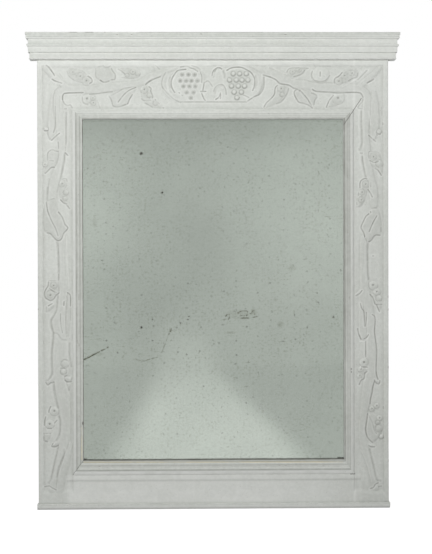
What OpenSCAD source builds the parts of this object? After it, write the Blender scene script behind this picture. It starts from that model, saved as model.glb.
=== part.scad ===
// Trumeau mirror: painted frame with a carved grapevine, a stepped cornice and an old silvered plate.
// X runs to the right, Z up, and the face looks along -Y. The back lies on the plane y = 0,
// and the origin is the middle of the bottom edge on that plane.

/* [Body] */
// Width over the two stiles
body_w = 1056; // [940:1:1250]
// Height from the bottom edge to the underside of the cornice
body_h = 1350; // [1240:1:1600]
// Thickness of the stiles and rails
board_t = 30; // [28:0.5:40]
// Width of each stile
stile_w = 128; // [120:1:160]
// Width of the bottom rail
bottom_rail_w = 124; // [115:1:160]
// Height of the frieze rail below the cornice
frieze_w = 168; // [150:1:220]
// Height of the strip under the frame
base_h = 18; // [12:0.5:30]
// How far the strip stands out past the face and the sides
base_out = 4; // [2:0.5:10]
// Radius of the strip's lower front edge
base_round = 11; // [4:0.5:11.5]

/* [Carved ground] */
// Depth to which the ground is cut below the face
ground_depth = 3; // [2:0.25:4]
// Width of the plain border along the outer edges
border_w = 13; // [8:0.5:20]
// Width of the plain border under the cornice
top_border_w = 12; // [8:0.5:20]
// Height of the plain foot below the ground of each stile
foot_h = 48; // [40:1:80]
// Height at which the step across the bottom rail lies
apron_h = 88; // [70:1:96]
// Depth of the step across the bottom rail
apron_depth = 1.5; // [0.5:0.25:2.5]
// Width of the plain border beside the step
apron_border = 84; // [60:1:120]

/* [Vine] */
// Height of the stems above the ground
stem_relief = 2.6; // [1.5:0.1:3]
// Height of the leaves above the ground
leaf_relief = 3.2; // [2:0.1:4]
// Height of the grapes and berries above the ground
berry_relief = 3.6; // [2:0.1:5]
// Height of the midrib above the leaf
rib_relief = 0.6; // [0.3:0.1:1.2]
// Width of the midrib at the leaf's base
rib_w = 4; // [2:0.5:6]
// Diameter of one grape in the two bunches
grape_d = 17; // [12:0.5:18]
// Distance between the grapes of one row
grape_pitch = 18.6; // [18.2:0.1:20]
// Distance between the rows of a bunch
grape_row = 18; // [17:0.1:20]

/* [Sight moulding] */
// Width of the side and top members
sight_side_w = 30; // [20:0.5:38]
// Width of the bottom member
sight_bottom_w = 45; // [30:0.5:48]
// Height of the roll above the face
sight_roll = 7; // [5:0.25:12]
// Thickness of the lip that holds the glass
sight_lip = 2.2; // [1.5:0.1:4]
// How far the lip laps over the opening of the frame
sight_lap = 8; // [6:0.5:14]

/* [Cornice] */
// Distance by which the lowest band stands out
cornice_foot = 21; // [10:0.5:40]
// Height of the bead along the lower edge
low_bead = 5; // [3:0.5:8]
// Height of the lower band
low_band = 16; // [8:0.5:24]
// Height of the groove above the lower band
quirk_h = 3; // [2:0.5:5]
// Depth of the groove
quirk_depth = 2; // [1:0.5:6]
// Height of the middle band
mid_band = 15; // [8:0.5:24]
// Distance by which the middle band stands out past the lower one
mid_out = 4; // [2:0.5:8]
// Height of the middle bead
mid_bead = 9; // [5:0.5:14]
// Height of the upper band
high_band = 11; // [6:0.5:20]
// Radius of the cove under the top bead
cove_r = 4; // [2:0.5:8]
// Height of the top bead
top_bead = 6; // [4:0.5:10]
// Height of the fillet above the top bead
fillet_h = 6; // [3:0.5:10]
// Thickness of the cap board
cap_t = 7; // [5:0.5:12]
// How far the cap stands out past the fillet
cap_out = 2; // [1:0.5:8]

/* [Mirror plate and back] */
// Thickness of the glass
glass_t = 4; // [3:0.25:5]
// Play between the glass and the frame at the sides and the top
glass_play = 3; // [1:0.25:4]
// Depth of the rebate that takes the back boards
rebate_d = 18; // [16:0.5:20]
// Width of the rebate
rebate_w = 12; // [9:0.5:16]
// Thickness of the back boards
plank_t = 12; // [9:0.5:15]
// Width by which the boards lap over each other
plank_lap = 8; // [5:0.5:14]
// Play round each back board
plank_play = 0.5; // [0.2:0.1:0.9]
// Width of the glazing blocks
block_w = 18; // [10:0.5:24]
// Length of the glazing blocks
block_l = 60; // [30:1:100]
// Diameter of the nails in the back boards
nail_d = 2.2; // [1.6:0.1:3]
// Diameter of the nail heads
nail_head_d = 5.2; // [3.6:0.1:7]
// Thickness of the nail heads
nail_head_t = 1; // [0.5:0.1:2]
// Length of the nails below the head
nail_l = 20; // [16:0.5:21]

/* [Joints] */
// Thickness of the tenons
tenon_t = 10; // [7:0.5:12]
// Length of the tenons
tenon_l = 60; // [45:1:80]
// Depth from the back to the tenons
tenon_back = 9; // [7:0.5:10]
// Shoulder above and below the tenons
tenon_shoulder = 12; // [8:0.5:20]
// Gap between the two tenons of the frieze rail
tenon_gap = 40; // [20:1:60]
// Play round the tenons
tenon_play = 0.1; // [0.05:0.05:0.3]
// Diameter of the pegs through the tenons
peg_d = 10; // [6:0.5:12]
// Distance from the shoulder to the pegs
peg_inset = 25; // [22:0.5:30]
// Length of the pegs
peg_l = 24; // [20:0.5:25]
// Play round pegs, nails and screws
pin_play = 0.05; // [0.02:0.01:0.1]

/* [Hangers] */
// Height of the ring hinges above the bottom edge
hanger_z = 1040; // [900:1:1100]
// Width of the pocket in the stile
pocket_w = 60; // [50:1:70]
// Depth of the pocket
pocket_d = 9.2; // [9:0.1:11]
// Radius of the pocket's corners
pocket_r = 8; // [4:0.5:12]
// Space above the strap and below the ring
pocket_end = 12; // [8:1:25]
// Width of the strap
strap_w = 20; // [16:0.5:26]
// Length of the strap from the ring's hinge
strap_l = 75; // [60:1:100]
// Thickness of the strap
strap_t = 2; // [1.5:0.1:2.2]
// Diameter of the ring's wire
ring_d = 4; // [3:0.1:4.2]
// Clear width inside the ring
ring_in_w = 30; // [24:0.5:36]
// Length of the ring's straight legs
ring_leg = 12; // [8:0.5:20]
// Play of the ring's bar in the strap's eye
ring_play = 0.3; // [0.2:0.05:0.4]
// Length of the strap's eye
eye_l = 15; // [10:0.5:20]
// Diameter of the screws
screw_d = 3.6; // [2.8:0.1:4.5]
// Diameter of the screw heads
screw_head_d = 7; // [6:0.1:9]
// Height of the countersunk screw heads
screw_head_h = 1.4; // [1:0.1:1.4]
// Length of the screws
screw_l = 14; // [10:0.5:15]
// Distance between the screws
screw_pitch = 20; // [16:0.5:26]

/* [Hidden] */
$fn = 48;

paint = [0.83, 0.84, 0.81];
bare_wood = [0.66, 0.52, 0.36];
silvered = [0.66, 0.69, 0.67];
iron = [0.28, 0.26, 0.24];

// overlap that makes a cut or a union pass cleanly through a face
eps = 0.5;
arc_steps = 8;

// frame
half_w = body_w / 2;
open_half = half_w - stile_w;
open_bottom = base_h + bottom_rail_w;
open_top = body_h - frieze_w;
moulding_h = low_bead + low_band + quirk_h + mid_band + mid_bead + high_band + cove_r + top_bead + fillet_h;
carcass_top = body_h + moulding_h;
face_y = -board_t;
ground_y = ground_depth - board_t;

// sight moulding and glass
sight_half = open_half - sight_lap;
sight_bottom = open_bottom + sight_lap;
sight_top = open_top - sight_lap;
glass_back = glass_t - board_t;

// carved ground
ground_half = half_w - border_w;
ground_in = sight_half + sight_side_w;
ground_w = ground_half - ground_in;
ground_top = body_h - top_border_w;
frieze_z0 = sight_top + sight_side_w;
frieze_h = ground_top - frieze_z0;

// back boards
plank_n = 6;
plank_z0 = open_bottom - rebate_w;
plank_z1 = open_top + rebate_w;
plank_pitch = (plank_z1 - plank_z0) / plank_n;
plank_back = plank_t - rebate_d;
nail_x = open_half + rebate_w / 2;
// from a board's middle to each nail, as a share of the pitch
nail_share = 0.28;
block_n = 3;
// width of the glazing block's narrow face, as a share of its full width
block_bevel = 0.45;

// hangers
hanger_x = half_w - stile_w / 2;
eye_r = ring_d / 2 + ring_play;
barrel_r = eye_r + strap_t;
barrel_seat = 0.1;
hinge_y = barrel_seat + barrel_r - pocket_d;
ring_r = (ring_in_w + ring_d) / 2;
ring_reach = ring_leg + ring_r + ring_d / 2;
screw_n = 3;
// the screws sit this much nearer the hinge than whole pitches
screw_drop = 1;
strap_face = strap_t - pocket_d;

function arc(cx, cy, r, from, to) =
  [for (i = [0:arc_steps]) let (a = from + (to - from) * i / arc_steps) [cx + r * cos(a), cy + r * sin(a)]];
function spread(n, pitch) = [for (i = [0:n - 1]) (i - (n - 1) / 2) * pitch];

// extrudes a section drawn in (y, z) along x, over the middle
module along_x(length) {
  rotate([90, 0, 90]) linear_extrude(length, center = true) children();
}

// extrudes a shape drawn in (x, z) towards the viewer, from the plane y
module to_front(y, height) {
  translate([0, y, 0]) rotate([90, 0, 0]) linear_extrude(height) children();
}

// Drawing of the vine. Stile points are [across from the outer border, up from the foot], frieze
// points are [across from the middle, up from the moulding], both on a sheet of the given size,
// and the sheet is stretched to the ground that the frame leaves.
stile_sheet = [93, 1156];
frieze_sheet = [515, 134];

function on_stile(side, p) =
  [side * (ground_half - p.x * ground_w / stile_sheet.x),
   foot_h + p.y * (frieze_z0 - foot_h) / stile_sheet.y];
function on_frieze(p) = [p.x * ground_half / frieze_sheet.x, frieze_z0 + p.y * frieze_h / frieze_sheet.y];
function placed(side, p) = side == 0 ? on_frieze(p) : on_stile(side, p);

// A smooth curve through the points, with equal steps in each span
curve_steps = 4;
function blend(a, b, c, d, t) =
  0.5 * (2 * b + (c - a) * t + (2 * a - 5 * b + 4 * c - d) * t * t + (3 * b - a - 3 * c + d) * t * t * t);
function curve(p) = let (last = len(p) - 1)
  [for (i = [0:last - 1], k = [0:curve_steps - 1])
    blend(p[max(i - 1, 0)], p[i], p[i + 1], p[min(i + 2, last)], k / curve_steps), p[last]];
function heading(c, i) = let (d = c[min(i + 1, len(c) - 1)] - c[max(i - 1, 0)]) d / norm(d);
function edge(c, w0, w1, side) =
  [for (i = [0:len(c) - 1]) let (d = heading(c, i), w = w0 + (w1 - w0) * i / (len(c) - 1))
    c[i] + side * w / 2 * [-d.y, d.x]];
function backwards(list) = [for (i = [len(list) - 1:-1:0]) list[i]];
function stem_outline(points, w0, w1) =
  let (c = curve(points)) concat(edge(c, w0, w1, 1), backwards(edge(c, w0, w1, -1)));

// A leaf from its base: two mirrored edges that swell, and wave once for each lobe
leaf_steps = 14;
leaf_lean = 0.8;
lobe_wave = 0.24;
// length of the midrib as a share of the leaf's
rib_share = 0.8;
function leaf_half(t, lobes) =
  sin(180 * pow(t, leaf_lean)) * (1 + (lobes > 0 ? lobe_wave * cos(360 * lobes * t) : 0));
function leaf_edge(l, w, lobes, side) =
  [for (i = [1:leaf_steps - 1]) let (t = i / leaf_steps) [l * t, side * w / 2 * leaf_half(t, lobes)]];
function turned(p, base, a) = [base.x + p.x * cos(a) - p.y * sin(a), base.y + p.x * sin(a) + p.y * cos(a)];
function leaf_outline(base, a, l, w, lobes) =
  [for (p = concat([[0, 0]], leaf_edge(l, w, lobes, 1), [[l, 0]], backwards(leaf_edge(l, w, lobes, -1))))
    turned(p, base, a)];

// Each stem: width at its start, width at its end, points
left_stems = [
  [26, 24, [[25, 18], [35, 40], [52, 100], [62, 140], [66, 205], [58, 280], [50, 325], [46, 385], [46, 470],
    [44, 520], [58, 580], [66, 640], [61, 730], [50, 805], [44, 865], [48, 940], [49, 1000], [47, 1060],
    [52, 1130], [53, 1180]]],
  [18, 12, [[46, 1005], [32, 1045], [18, 1080]]],
  [16, 10, [[45, 400], [32, 360], [16, 330]]]];
right_stems = [
  [26, 24, [[30, 18], [38, 70], [52, 115], [60, 150], [63, 190], [60, 250], [54, 295], [44, 345], [41, 430],
    [43, 520], [51, 571], [38, 643], [39, 720], [40, 805], [45, 865], [50, 970], [57, 1015], [60, 1090],
    [58, 1145], [53, 1180]]],
  [18, 12, [[57, 1000], [40, 1042], [22, 1072]]],
  [14, 10, [[50, 570], [68, 588], [86, 598]]],
  [14, 10, [[44, 348], [30, 336], [14, 326]]]];
left_corner_stems = [
  [24, 20, [[-465, -60], [-462, 10], [-450, 42], [-422, 58], [-370, 60], [-305, 63]]],
  [26, 18, [[-430, 58], [-460, 80], [-490, 108]]]];
right_corner_stems = [
  [24, 20, [[465, -60], [462, 10], [452, 40], [428, 55], [398, 58], [350, 60]]],
  [26, 18, [[430, 58], [458, 82], [485, 108]]]];
frieze_stems = [
  [20, 10, [[-320, 62], [-250, 72], [-215, 80], [-185, 94], [-158, 112], [-125, 121], [-100, 122]]],
  [20, 10, [[365, 60], [305, 67], [260, 74], [225, 82], [188, 100], [152, 118], [125, 121], [100, 122]]],
  [14, 10, [[-160, 106], [-182, 128]]],
  [14, 10, [[160, 108], [182, 128]]],
  [10, 6, [[312, 112], [305, 130]]],
  [8, 5, [[-352, 40], [-344, 24], [-340, 8]]],
  [12, 6, [[-8, 92], [6, 116], [28, 112], [33, 92]]],
  [12, 6, [[-2, 42], [12, 66], [32, 62], [38, 42]]],
  [12, 9, [[-24, 88], [-30, 48]]]];

// Each leaf: base, angle, length, width, lobes
left_leaves = [
  [[34, 888], -83, 132, 60, 2.5],
  [[30, 640], -105, 90, 34, 0],
  [[40, 265], -118, 100, 36, 0]];
right_leaves = [
  [[18, 858], -76, 104, 58, 2.5],
  [[36, 640], -105, 84, 34, 0],
  [[40, 270], -105, 100, 40, 0]];
frieze_leaves = [
  [[-296, 82], 155, 72, 54, 2.5],
  [[-245, 98], 165, 40, 24, 0],
  [[-368, 72], 148, 88, 42, 0],
  [[-232, 64], 214, 96, 48, 2.5],
  [[-216, 66], -45, 88, 34, 0],
  [[228, 98], 18, 80, 28, 0],
  [[368, 74], 34, 82, 42, 0],
  [[214, 70], 228, 92, 40, 0],
  [[250, 62], -52, 78, 62, 2.5],
  [[392, 44], 218, 68, 34, 0]];

// Each berry or round fruit: across, up, radius
left_berries = [
  [61, 931, 12], [72, 903, 8], [74, 884, 8], [28, 1000, 16], [37, 626, 13], [19, 622, 9], [27, 594, 14],
  [16, 562, 8], [76, 394, 8], [77, 374, 9], [74, 353, 8], [39, 248, 13], [25, 214, 12], [15, 180, 8]];
right_berries = [
  [58, 930, 14], [68, 906, 8], [72, 884, 9], [24, 998, 15], [36, 625, 14], [24, 598, 10], [20, 574, 8],
  [72, 486, 13], [64, 395, 14], [72, 372, 8], [74, 352, 8], [32, 240, 13], [20, 212, 10], [15, 172, 8]];
frieze_berries = [
  [-420, 108, 9], [-400, 95, 10], [-379, 82, 13], [-241, 108, 7], [-224, 106, 7],
  [-380, 30, 9], [-361, 31, 8], [-366, 14, 7], [-206, 55, 12],
  [238, 108, 7], [256, 113, 7], [322, 98, 25], [378, 82, 12], [396, 96, 10], [414, 107, 9],
  [204, 58, 12], [374, 30, 18]];

// The ring of stem round each bunch: half width, half height, width, from angle, to angle
ring_stems = [[59, 50, 10, -35, 250], [46, 42, 7, 70, 225]];
ring_middle = [88, 71];
ring_steps = 20;
bunch_rows = [3, 4, 3, 2, 1];
bunch_top = [76, 101];
// each row of a bunch moves this much towards the middle of the frieze
bunch_drift = 1.5;

module stems(side, list) {
  for (s = list)
    to_front(ground_y + eps, stem_relief + eps)
      polygon([for (p = stem_outline(s[2], s[0], s[1])) placed(side, p)]);
}

module leaves(side, list) {
  for (f = list) {
    to_front(ground_y + eps, leaf_relief + eps)
      polygon([for (p = leaf_outline(f[0], f[1], f[2], f[3], f[4])) placed(side, p)]);
    to_front(ground_y + eps, leaf_relief + rib_relief + eps)
      polygon([for (p = leaf_outline(f[0], f[1], f[2] * rib_share, rib_w, 0)) placed(side, p)]);
  }
}

// a cap cut from a sphere, with the given radius where it meets the ground
module dome(at, r) {
  ball = (r * r + berry_relief * berry_relief) / (2 * berry_relief);
  translate([at.x, ground_y, at.y])
    intersection() {
      translate([0, ball - berry_relief, 0]) sphere(ball);
      translate([-2 * r, -2 * berry_relief, -2 * r]) cube([4 * r, 2 * berry_relief + eps, 4 * r]);
    }
}

module berries(side, list) {
  for (b = list) dome(placed(side, b), b[2]);
}

module bunch(side) {
  for (row = [0:len(bunch_rows) - 1])
    for (dx = spread(bunch_rows[row], grape_pitch))
      dome(on_frieze([side * (bunch_top.x - row * bunch_drift) + dx, bunch_top.y - row * grape_row]), grape_d / 2);
}

module ring_of_stem(side) {
  for (r = ring_stems) {
    outline = [for (out = [1, -1]) let (a0 = out > 0 ? r[3] : r[4], a1 = out > 0 ? r[4] : r[3])
      for (i = [0:ring_steps]) let (a = a0 + (a1 - a0) * i / ring_steps)
        [side * (ring_middle.x - (r[0] + out * r[2] / 2) * cos(a)),
         ring_middle.y + (r[1] + out * r[2] / 2) * sin(a)]];
    to_front(ground_y + eps, stem_relief + eps) polygon([for (p = outline) on_frieze(p)]);
  }
}

// the sunk field, drawn in (x, z): two legs down the stiles and the frieze across the top
module ground_shape() {
  translate([-ground_half, frieze_z0]) square([2 * ground_half, frieze_h]);
  for (side = [-1, 1])
    translate([side < 0 ? -ground_half : ground_in, foot_h]) square([ground_w, ground_top - foot_h]);
}

module apron_shape() {
  half = half_w - apron_border;
  translate([-half, base_h]) square([2 * half, apron_h - base_h]);
}

// the part of the ground that lies on one board, given by its edges in x
module ground_block(x0, x1, y, height) {
  to_front(y, height)
    intersection() {
      ground_shape();
      translate([x0, 0]) square([x1 - x0, carcass_top]);
    }
}

tenon_spans = [
  [base_h + tenon_shoulder, open_bottom - rebate_w - tenon_shoulder],
  [open_top + rebate_w + tenon_shoulder, (open_top + rebate_w + carcass_top - tenon_gap) / 2],
  [(open_top + rebate_w + carcass_top + tenon_gap) / 2, carcass_top - tenon_shoulder]];

module tenon(side, span, play) {
  translate([side > 0 ? open_half - eps : -open_half - tenon_l - play, -tenon_back - tenon_t - play, span[0] - play])
    cube([tenon_l + eps + play, tenon_t + 2 * play, span[1] - span[0] + 2 * play]);
}

// peg heights: two in the bottom tenon, one in each tenon of the frieze rail
function middle(span, share) = span[0] + (span[1] - span[0]) * share;
peg_heights = [middle(tenon_spans[0], 0.25), middle(tenon_spans[0], 0.75),
  middle(tenon_spans[1], 0.5), middle(tenon_spans[2], 0.5)];

module pegs(play) {
  for (side = [-1, 1], z = peg_heights)
    translate([side * (open_half + peg_inset), play > 0 ? eps : 0, z])
      rotate([90, 0, 0]) cylinder(d = peg_d + 2 * play, h = peg_l + (play > 0 ? eps + play : 0));
}

// back board nails: two at each end of each board
module nails(play) {
  for (side = [-1, 1], i = [0:plank_n - 1], k = [-1, 1])
    translate([side * nail_x, plank_back, plank_z0 + plank_pitch * (i + 0.5 + k * nail_share)])
      rotate([90, 0, 0]) cylinder(d = nail_d + 2 * play, h = nail_l + play);
}

module strap_screws(play) {
  for (side = [-1, 1], i = [1:screw_n])
    translate([side * hanger_x, strap_face, hanger_z + screw_pitch * i - screw_drop])
      rotate([90, 0, 0]) {
        cylinder(d = screw_d + 2 * play, h = screw_l + play);
        cylinder(d1 = screw_head_d + 2 * play, d2 = screw_d + 2 * play, h = screw_head_h);
      }
}

module round_rect(w, h, r) {
  translate([-w / 2 + r, 0]) square([w - 2 * r, h]);
  translate([-w / 2, r]) square([w, h - 2 * r]);
  for (x = [-1, 1], y = [r, h - r]) translate([x * (w / 2 - r), y]) circle(r);
}

module pocket(side) {
  low = hanger_z - ring_reach - pocket_end;
  translate([side * hanger_x, 0, low])
    to_front(eps, pocket_d + eps) round_rect(pocket_w, ring_reach + strap_l + 2 * pocket_end, pocket_r);
}

module stile(side, stem_list, corner_list, leaf_list, berry_list) {
  x0 = side > 0 ? open_half : -half_w;
  color(paint) {
    difference() {
      translate([x0, -board_t, base_h]) cube([stile_w, board_t, carcass_top - base_h]);
      ground_block(x0 - eps, x0 + stile_w + eps, ground_y, ground_depth + eps);
      to_front(apron_depth - board_t, apron_depth + eps) apron_shape();
      translate([side * (open_half + rebate_w / 2), -rebate_d / 2, (plank_z0 + plank_z1) / 2])
        cube([rebate_w, rebate_d, plank_z1 - plank_z0], center = true);
      for (span = tenon_spans) tenon(side, span, tenon_play);
      pegs(pin_play);
      nails(pin_play);
      pocket(side);
      strap_screws(pin_play);
    }
    intersection() {
      ground_block(x0, x0 + stile_w, ground_y + eps, ground_depth + leaf_relief);
      union() {
        stems(side, stem_list);
        stems(0, corner_list);
        leaves(side, leaf_list);
        berries(side, berry_list);
      }
    }
  }
}

module left_stile() { stile(-1, left_stems, left_corner_stems, left_leaves, left_berries); }

module right_stile() { stile(1, right_stems, right_corner_stems, right_leaves, right_berries); }

module frieze_rail() {
  color(paint) {
    difference() {
      union() {
        translate([-open_half, -board_t, open_top]) cube([2 * open_half, board_t, carcass_top - open_top]);
        for (side = [-1, 1], i = [1, 2]) tenon(side, tenon_spans[i], 0);
      }
      ground_block(-open_half - eps, open_half + eps, ground_y, ground_depth + eps);
      translate([0, -rebate_d / 2, open_top + rebate_w / 2])
        cube([2 * open_half + eps, rebate_d, rebate_w], center = true);
      pegs(pin_play);
    }
    intersection() {
      ground_block(-open_half, open_half, ground_y + eps, ground_depth + berry_relief);
      union() {
        stems(0, concat(frieze_stems, left_corner_stems, right_corner_stems));
        leaves(0, frieze_leaves);
        berries(0, frieze_berries);
        for (side = [-1, 1]) {
          bunch(side);
          ring_of_stem(side);
        }
      }
    }
  }
}

module bottom_rail() {
  color(paint)
    difference() {
      union() {
        translate([-open_half, -board_t, base_h]) cube([2 * open_half, board_t, bottom_rail_w]);
        for (side = [-1, 1]) tenon(side, tenon_spans[0], 0);
      }
      to_front(apron_depth - board_t, apron_depth + eps) apron_shape();
      translate([0, -rebate_d / 2, open_bottom - rebate_w / 2])
        cube([2 * open_half + eps, rebate_d, rebate_w], center = true);
      pegs(pin_play);
    }
}

// a strip with a well rounded lower front edge and a slightly rounded upper one
base_crest = 2;
module base_strip() {
  front = board_t + base_out;
  color(paint)
    along_x(body_w + 2 * base_out)
      polygon(concat([[0, 0]],
        [for (p = arc(front - base_round, base_round, base_round, -90, 0)) [-p.x, p.y]],
        [for (p = arc(front - base_crest, base_h - base_crest, base_crest, 0, 90)) [-p.x, p.y]],
        [[0, base_h]]));
}

module tenon_pegs() {
  color(bare_wood) pegs(0);
}

// Section of the sight moulding as [share of the width from the outer edge, height above the face]:
// a roll that falls to a flat, a cove, and a bead at the sight edge
roll_w = 0.46;
roll_foot = 1.5;
roll_turn = 125;
flat_w = 0.12;
flat_rise = 2.2;
cove_w = 0.22;
cove_rise = 1.6;
bead_w = 0.18;
bead_rise = 1.4;
sight_section = concat(
  [[0, 0], [0, roll_foot]],
  [for (i = [1:arc_steps]) let (t = i / arc_steps)
    [roll_w * t, roll_foot + (sight_roll - roll_foot) * sin(roll_turn * t)]],
  [[roll_w, sight_lip + flat_rise], [roll_w + flat_w, sight_lip + flat_rise]],
  [for (i = [0:arc_steps]) let (a = 90 * i / arc_steps)
    [roll_w + flat_w + cove_w * sin(a), sight_lip + cove_rise * cos(a)]],
  [for (i = [0:arc_steps]) let (a = 180 * i / arc_steps)
    [1 - bead_w * (1 + cos(a)) / 2, sight_lip + bead_rise * sin(a)]],
  [[1, 0]]);

// the mitred outline of one member: its sight edge and its outer edge, both drawn in (x, z)
module mitred(sight_a, sight_b, outer_b, outer_a) {
  intersection() {
    children();
    to_front(face_y + eps, sight_roll + 2 * eps) polygon([sight_a, sight_b, outer_b, outer_a]);
  }
}

sight_corners = [[-sight_half, sight_bottom], [sight_half, sight_bottom],
  [sight_half, sight_top], [-sight_half, sight_top]];
outer_corners = [[-ground_in, sight_bottom - sight_bottom_w], [ground_in, sight_bottom - sight_bottom_w],
  [ground_in, frieze_z0], [-ground_in, frieze_z0]];

module sight_mould_top() {
  color(paint)
    mitred(sight_corners[3], sight_corners[2], outer_corners[2], outer_corners[3])
      along_x(2 * ground_in)
        polygon([for (p = sight_section) [face_y - p.y, frieze_z0 - p.x * sight_side_w]]);
}

module sight_mould_bottom() {
  color(paint)
    mitred(sight_corners[0], sight_corners[1], outer_corners[1], outer_corners[0])
      along_x(2 * ground_in)
        polygon([for (p = sight_section) [face_y - p.y, outer_corners[0].y + p.x * sight_bottom_w]]);
}

module sight_mould_side(side) {
  k = side > 0 ? 1 : 0;
  color(paint)
    mitred(sight_corners[k], sight_corners[k == 1 ? 2 : 3], outer_corners[k == 1 ? 2 : 3], outer_corners[k])
      translate([0, 0, outer_corners[0].y])
        linear_extrude(frieze_z0 - outer_corners[0].y)
          polygon([for (p = sight_section) [side * (ground_in - p.x * sight_side_w), face_y - p.y]]);
}

module sight_mould_left() { sight_mould_side(-1); }

module sight_mould_right() { sight_mould_side(1); }

// Section of the cornice as [distance out from the frame, height above its underside]
z1 = low_bead;
z2 = z1 + low_band;
z3 = z2 + quirk_h;
z4 = z3 + mid_band;
z5 = z4 + mid_bead;
z6 = z5 + high_band;
z7 = z6 + cove_r;
z8 = z7 + top_bead;
band_2 = cornice_foot + mid_out;
band_3 = band_2 + cove_r;
fillet_step = 2;
fillet_out = band_3 + fillet_step;
cornice_out = fillet_out + cap_out;
cornice_section = concat(
  [[0, 0]],
  arc(cornice_foot, z1 / 2, low_bead / 2, -90, 90),
  [[cornice_foot, z2], [cornice_foot - quirk_depth, z2], [cornice_foot - quirk_depth, z3], [band_2, z3]],
  arc(band_2, (z4 + z5) / 2, mid_bead / 2, -90, 90),
  arc(band_3, z6, cove_r, 180, 90),
  arc(band_3, (z7 + z8) / 2, top_bead / 2, -90, 90),
  [[fillet_out, z8], [fillet_out, moulding_h], [0, moulding_h]]);

far = cornice_out + eps;

module cornice_front() {
  color(paint)
    intersection() {
      translate([0, face_y, body_h])
        along_x(body_w + 2 * cornice_out) polygon([for (p = cornice_section) [-p.x, p.y]]);
      translate([0, 0, body_h - eps])
        linear_extrude(moulding_h + 2 * eps)
          polygon([[-half_w, face_y], [half_w, face_y], [half_w + far, face_y - far], [-half_w - far, face_y - far]]);
    }
}

module cornice_return(side) {
  color(paint)
    intersection() {
      translate([0, 0, body_h])
        to_front(0, board_t + cornice_out)
          polygon([for (p = cornice_section) [side * (half_w + p.x), p.y]]);
      translate([0, 0, body_h - eps])
        linear_extrude(moulding_h + 2 * eps)
          polygon([for (p = [[half_w, eps], [half_w, face_y], [half_w + far, face_y - far], [half_w + far, eps]])
            [side * p.x, p.y]]);
    }
}

module cornice_return_left() { cornice_return(-1); }

module cornice_return_right() { cornice_return(1); }

module cornice_cap() {
  color(paint)
    translate([-half_w - cornice_out, -board_t - cornice_out, carcass_top])
      cube([body_w + 2 * cornice_out, board_t + cornice_out, cap_t]);
}

module mirror_plate() {
  color(silvered)
    translate([glass_play - open_half, -board_t, open_bottom])
      cube([2 * (open_half - glass_play), glass_t, open_top - open_bottom - glass_play]);
}

// Bevelled blocks behind the glass, as [distance in from the opening, distance behind the glass]
module glazing_blocks() {
  depth = -rebate_d - glass_back;
  section = [[0, 0], [block_w, 0], [block_w * block_bevel, depth], [0, depth]];
  color(bare_wood) {
    for (side = [-1, 1], dz = spread(block_n, (open_top - open_bottom) / block_n))
      translate([0, glass_back, (open_top + open_bottom - block_l) / 2 + dz])
        linear_extrude(block_l) polygon([for (p = section) [side * (open_half - p.x), p.y]]);
    for (side = [-1, 1], dx = spread(block_n, open_half * 2 / block_n))
      translate([dx, glass_back, side > 0 ? open_top : open_bottom])
        along_x(block_l) polygon([for (p = section) [p.y, -side * p.x]]);
  }
}

// one board, counted from the bottom: its front half stands up behind the next board's lap
module back_board(i) {
  z0 = plank_z0 + plank_pitch * (i - 1) + (i == 1 ? plank_play : 0);
  z1 = plank_z0 + plank_pitch * i - plank_play;
  lap_0 = i == 1 ? 0 : plank_lap;
  lap_1 = i == plank_n ? 0 : plank_lap;
  front = -rebate_d;
  half = plank_back - plank_t / 2;
  color(bare_wood)
    difference() {
      along_x(2 * (open_half + rebate_w - plank_play))
        polygon([[plank_back, z0], [half, z0], [half, z0 + lap_0], [front, z0 + lap_0],
          [front, z1 + lap_1], [half, z1 + lap_1], [half, z1], [plank_back, z1]]);
      nails(pin_play);
    }
}

module back_board_nails() {
  color(iron) {
    nails(0);
    for (side = [-1, 1], i = [0:plank_n - 1], k = [-1, 1])
      translate([side * nail_x, plank_back + nail_head_t, plank_z0 + plank_pitch * (i + 0.5 + k * nail_share)])
        rotate([90, 0, 0]) cylinder(d = nail_head_d, h = nail_head_t);
  }
}

// a flat strap with its lower end rolled into an eye for the ring's bar
module hanger_strap(side) {
  end_r = strap_w / 2;
  color(iron)
    difference() {
      union() {
        translate([side * hanger_x, 0, hanger_z]) {
          to_front(strap_face, strap_t) {
            translate([-strap_w / 2, strap_t]) square([strap_w, strap_l - strap_t - end_r]);
            translate([0, strap_l - end_r]) circle(end_r);
          }
          translate([0, hinge_y, 0]) rotate([0, 90, 0]) cylinder(r = barrel_r, h = eye_l, center = true);
        }
      }
      translate([side * hanger_x, hinge_y, hanger_z])
        rotate([0, 90, 0]) cylinder(r = eye_r, h = strap_w + 2, center = true);
      strap_screws(pin_play);
    }
}

module hanger_strap_left() { hanger_strap(-1); }

module hanger_strap_right() { hanger_strap(1); }

module hanger_screws() {
  color(iron) strap_screws(0);
}

// a D-shaped ring: a straight bar in the eye, two legs and a half round
module hanger_ring(side) {
  color(iron)
    translate([side * hanger_x, hinge_y, hanger_z]) {
      rotate([0, 90, 0]) cylinder(d = ring_d, h = 2 * ring_r, center = true);
      for (x = [-ring_r, ring_r])
        translate([x, 0, -ring_leg]) {
          cylinder(d = ring_d, h = ring_leg);
          translate([0, 0, ring_leg]) sphere(d = ring_d);
        }
      translate([0, 0, -ring_leg])
        rotate([90, 0, 0]) rotate([0, 0, 180]) rotate_extrude(angle = 180) translate([ring_r, 0]) circle(d = ring_d);
    }
}

module hanger_ring_left() { hanger_ring(-1); }

module hanger_ring_right() { hanger_ring(1); }

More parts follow.
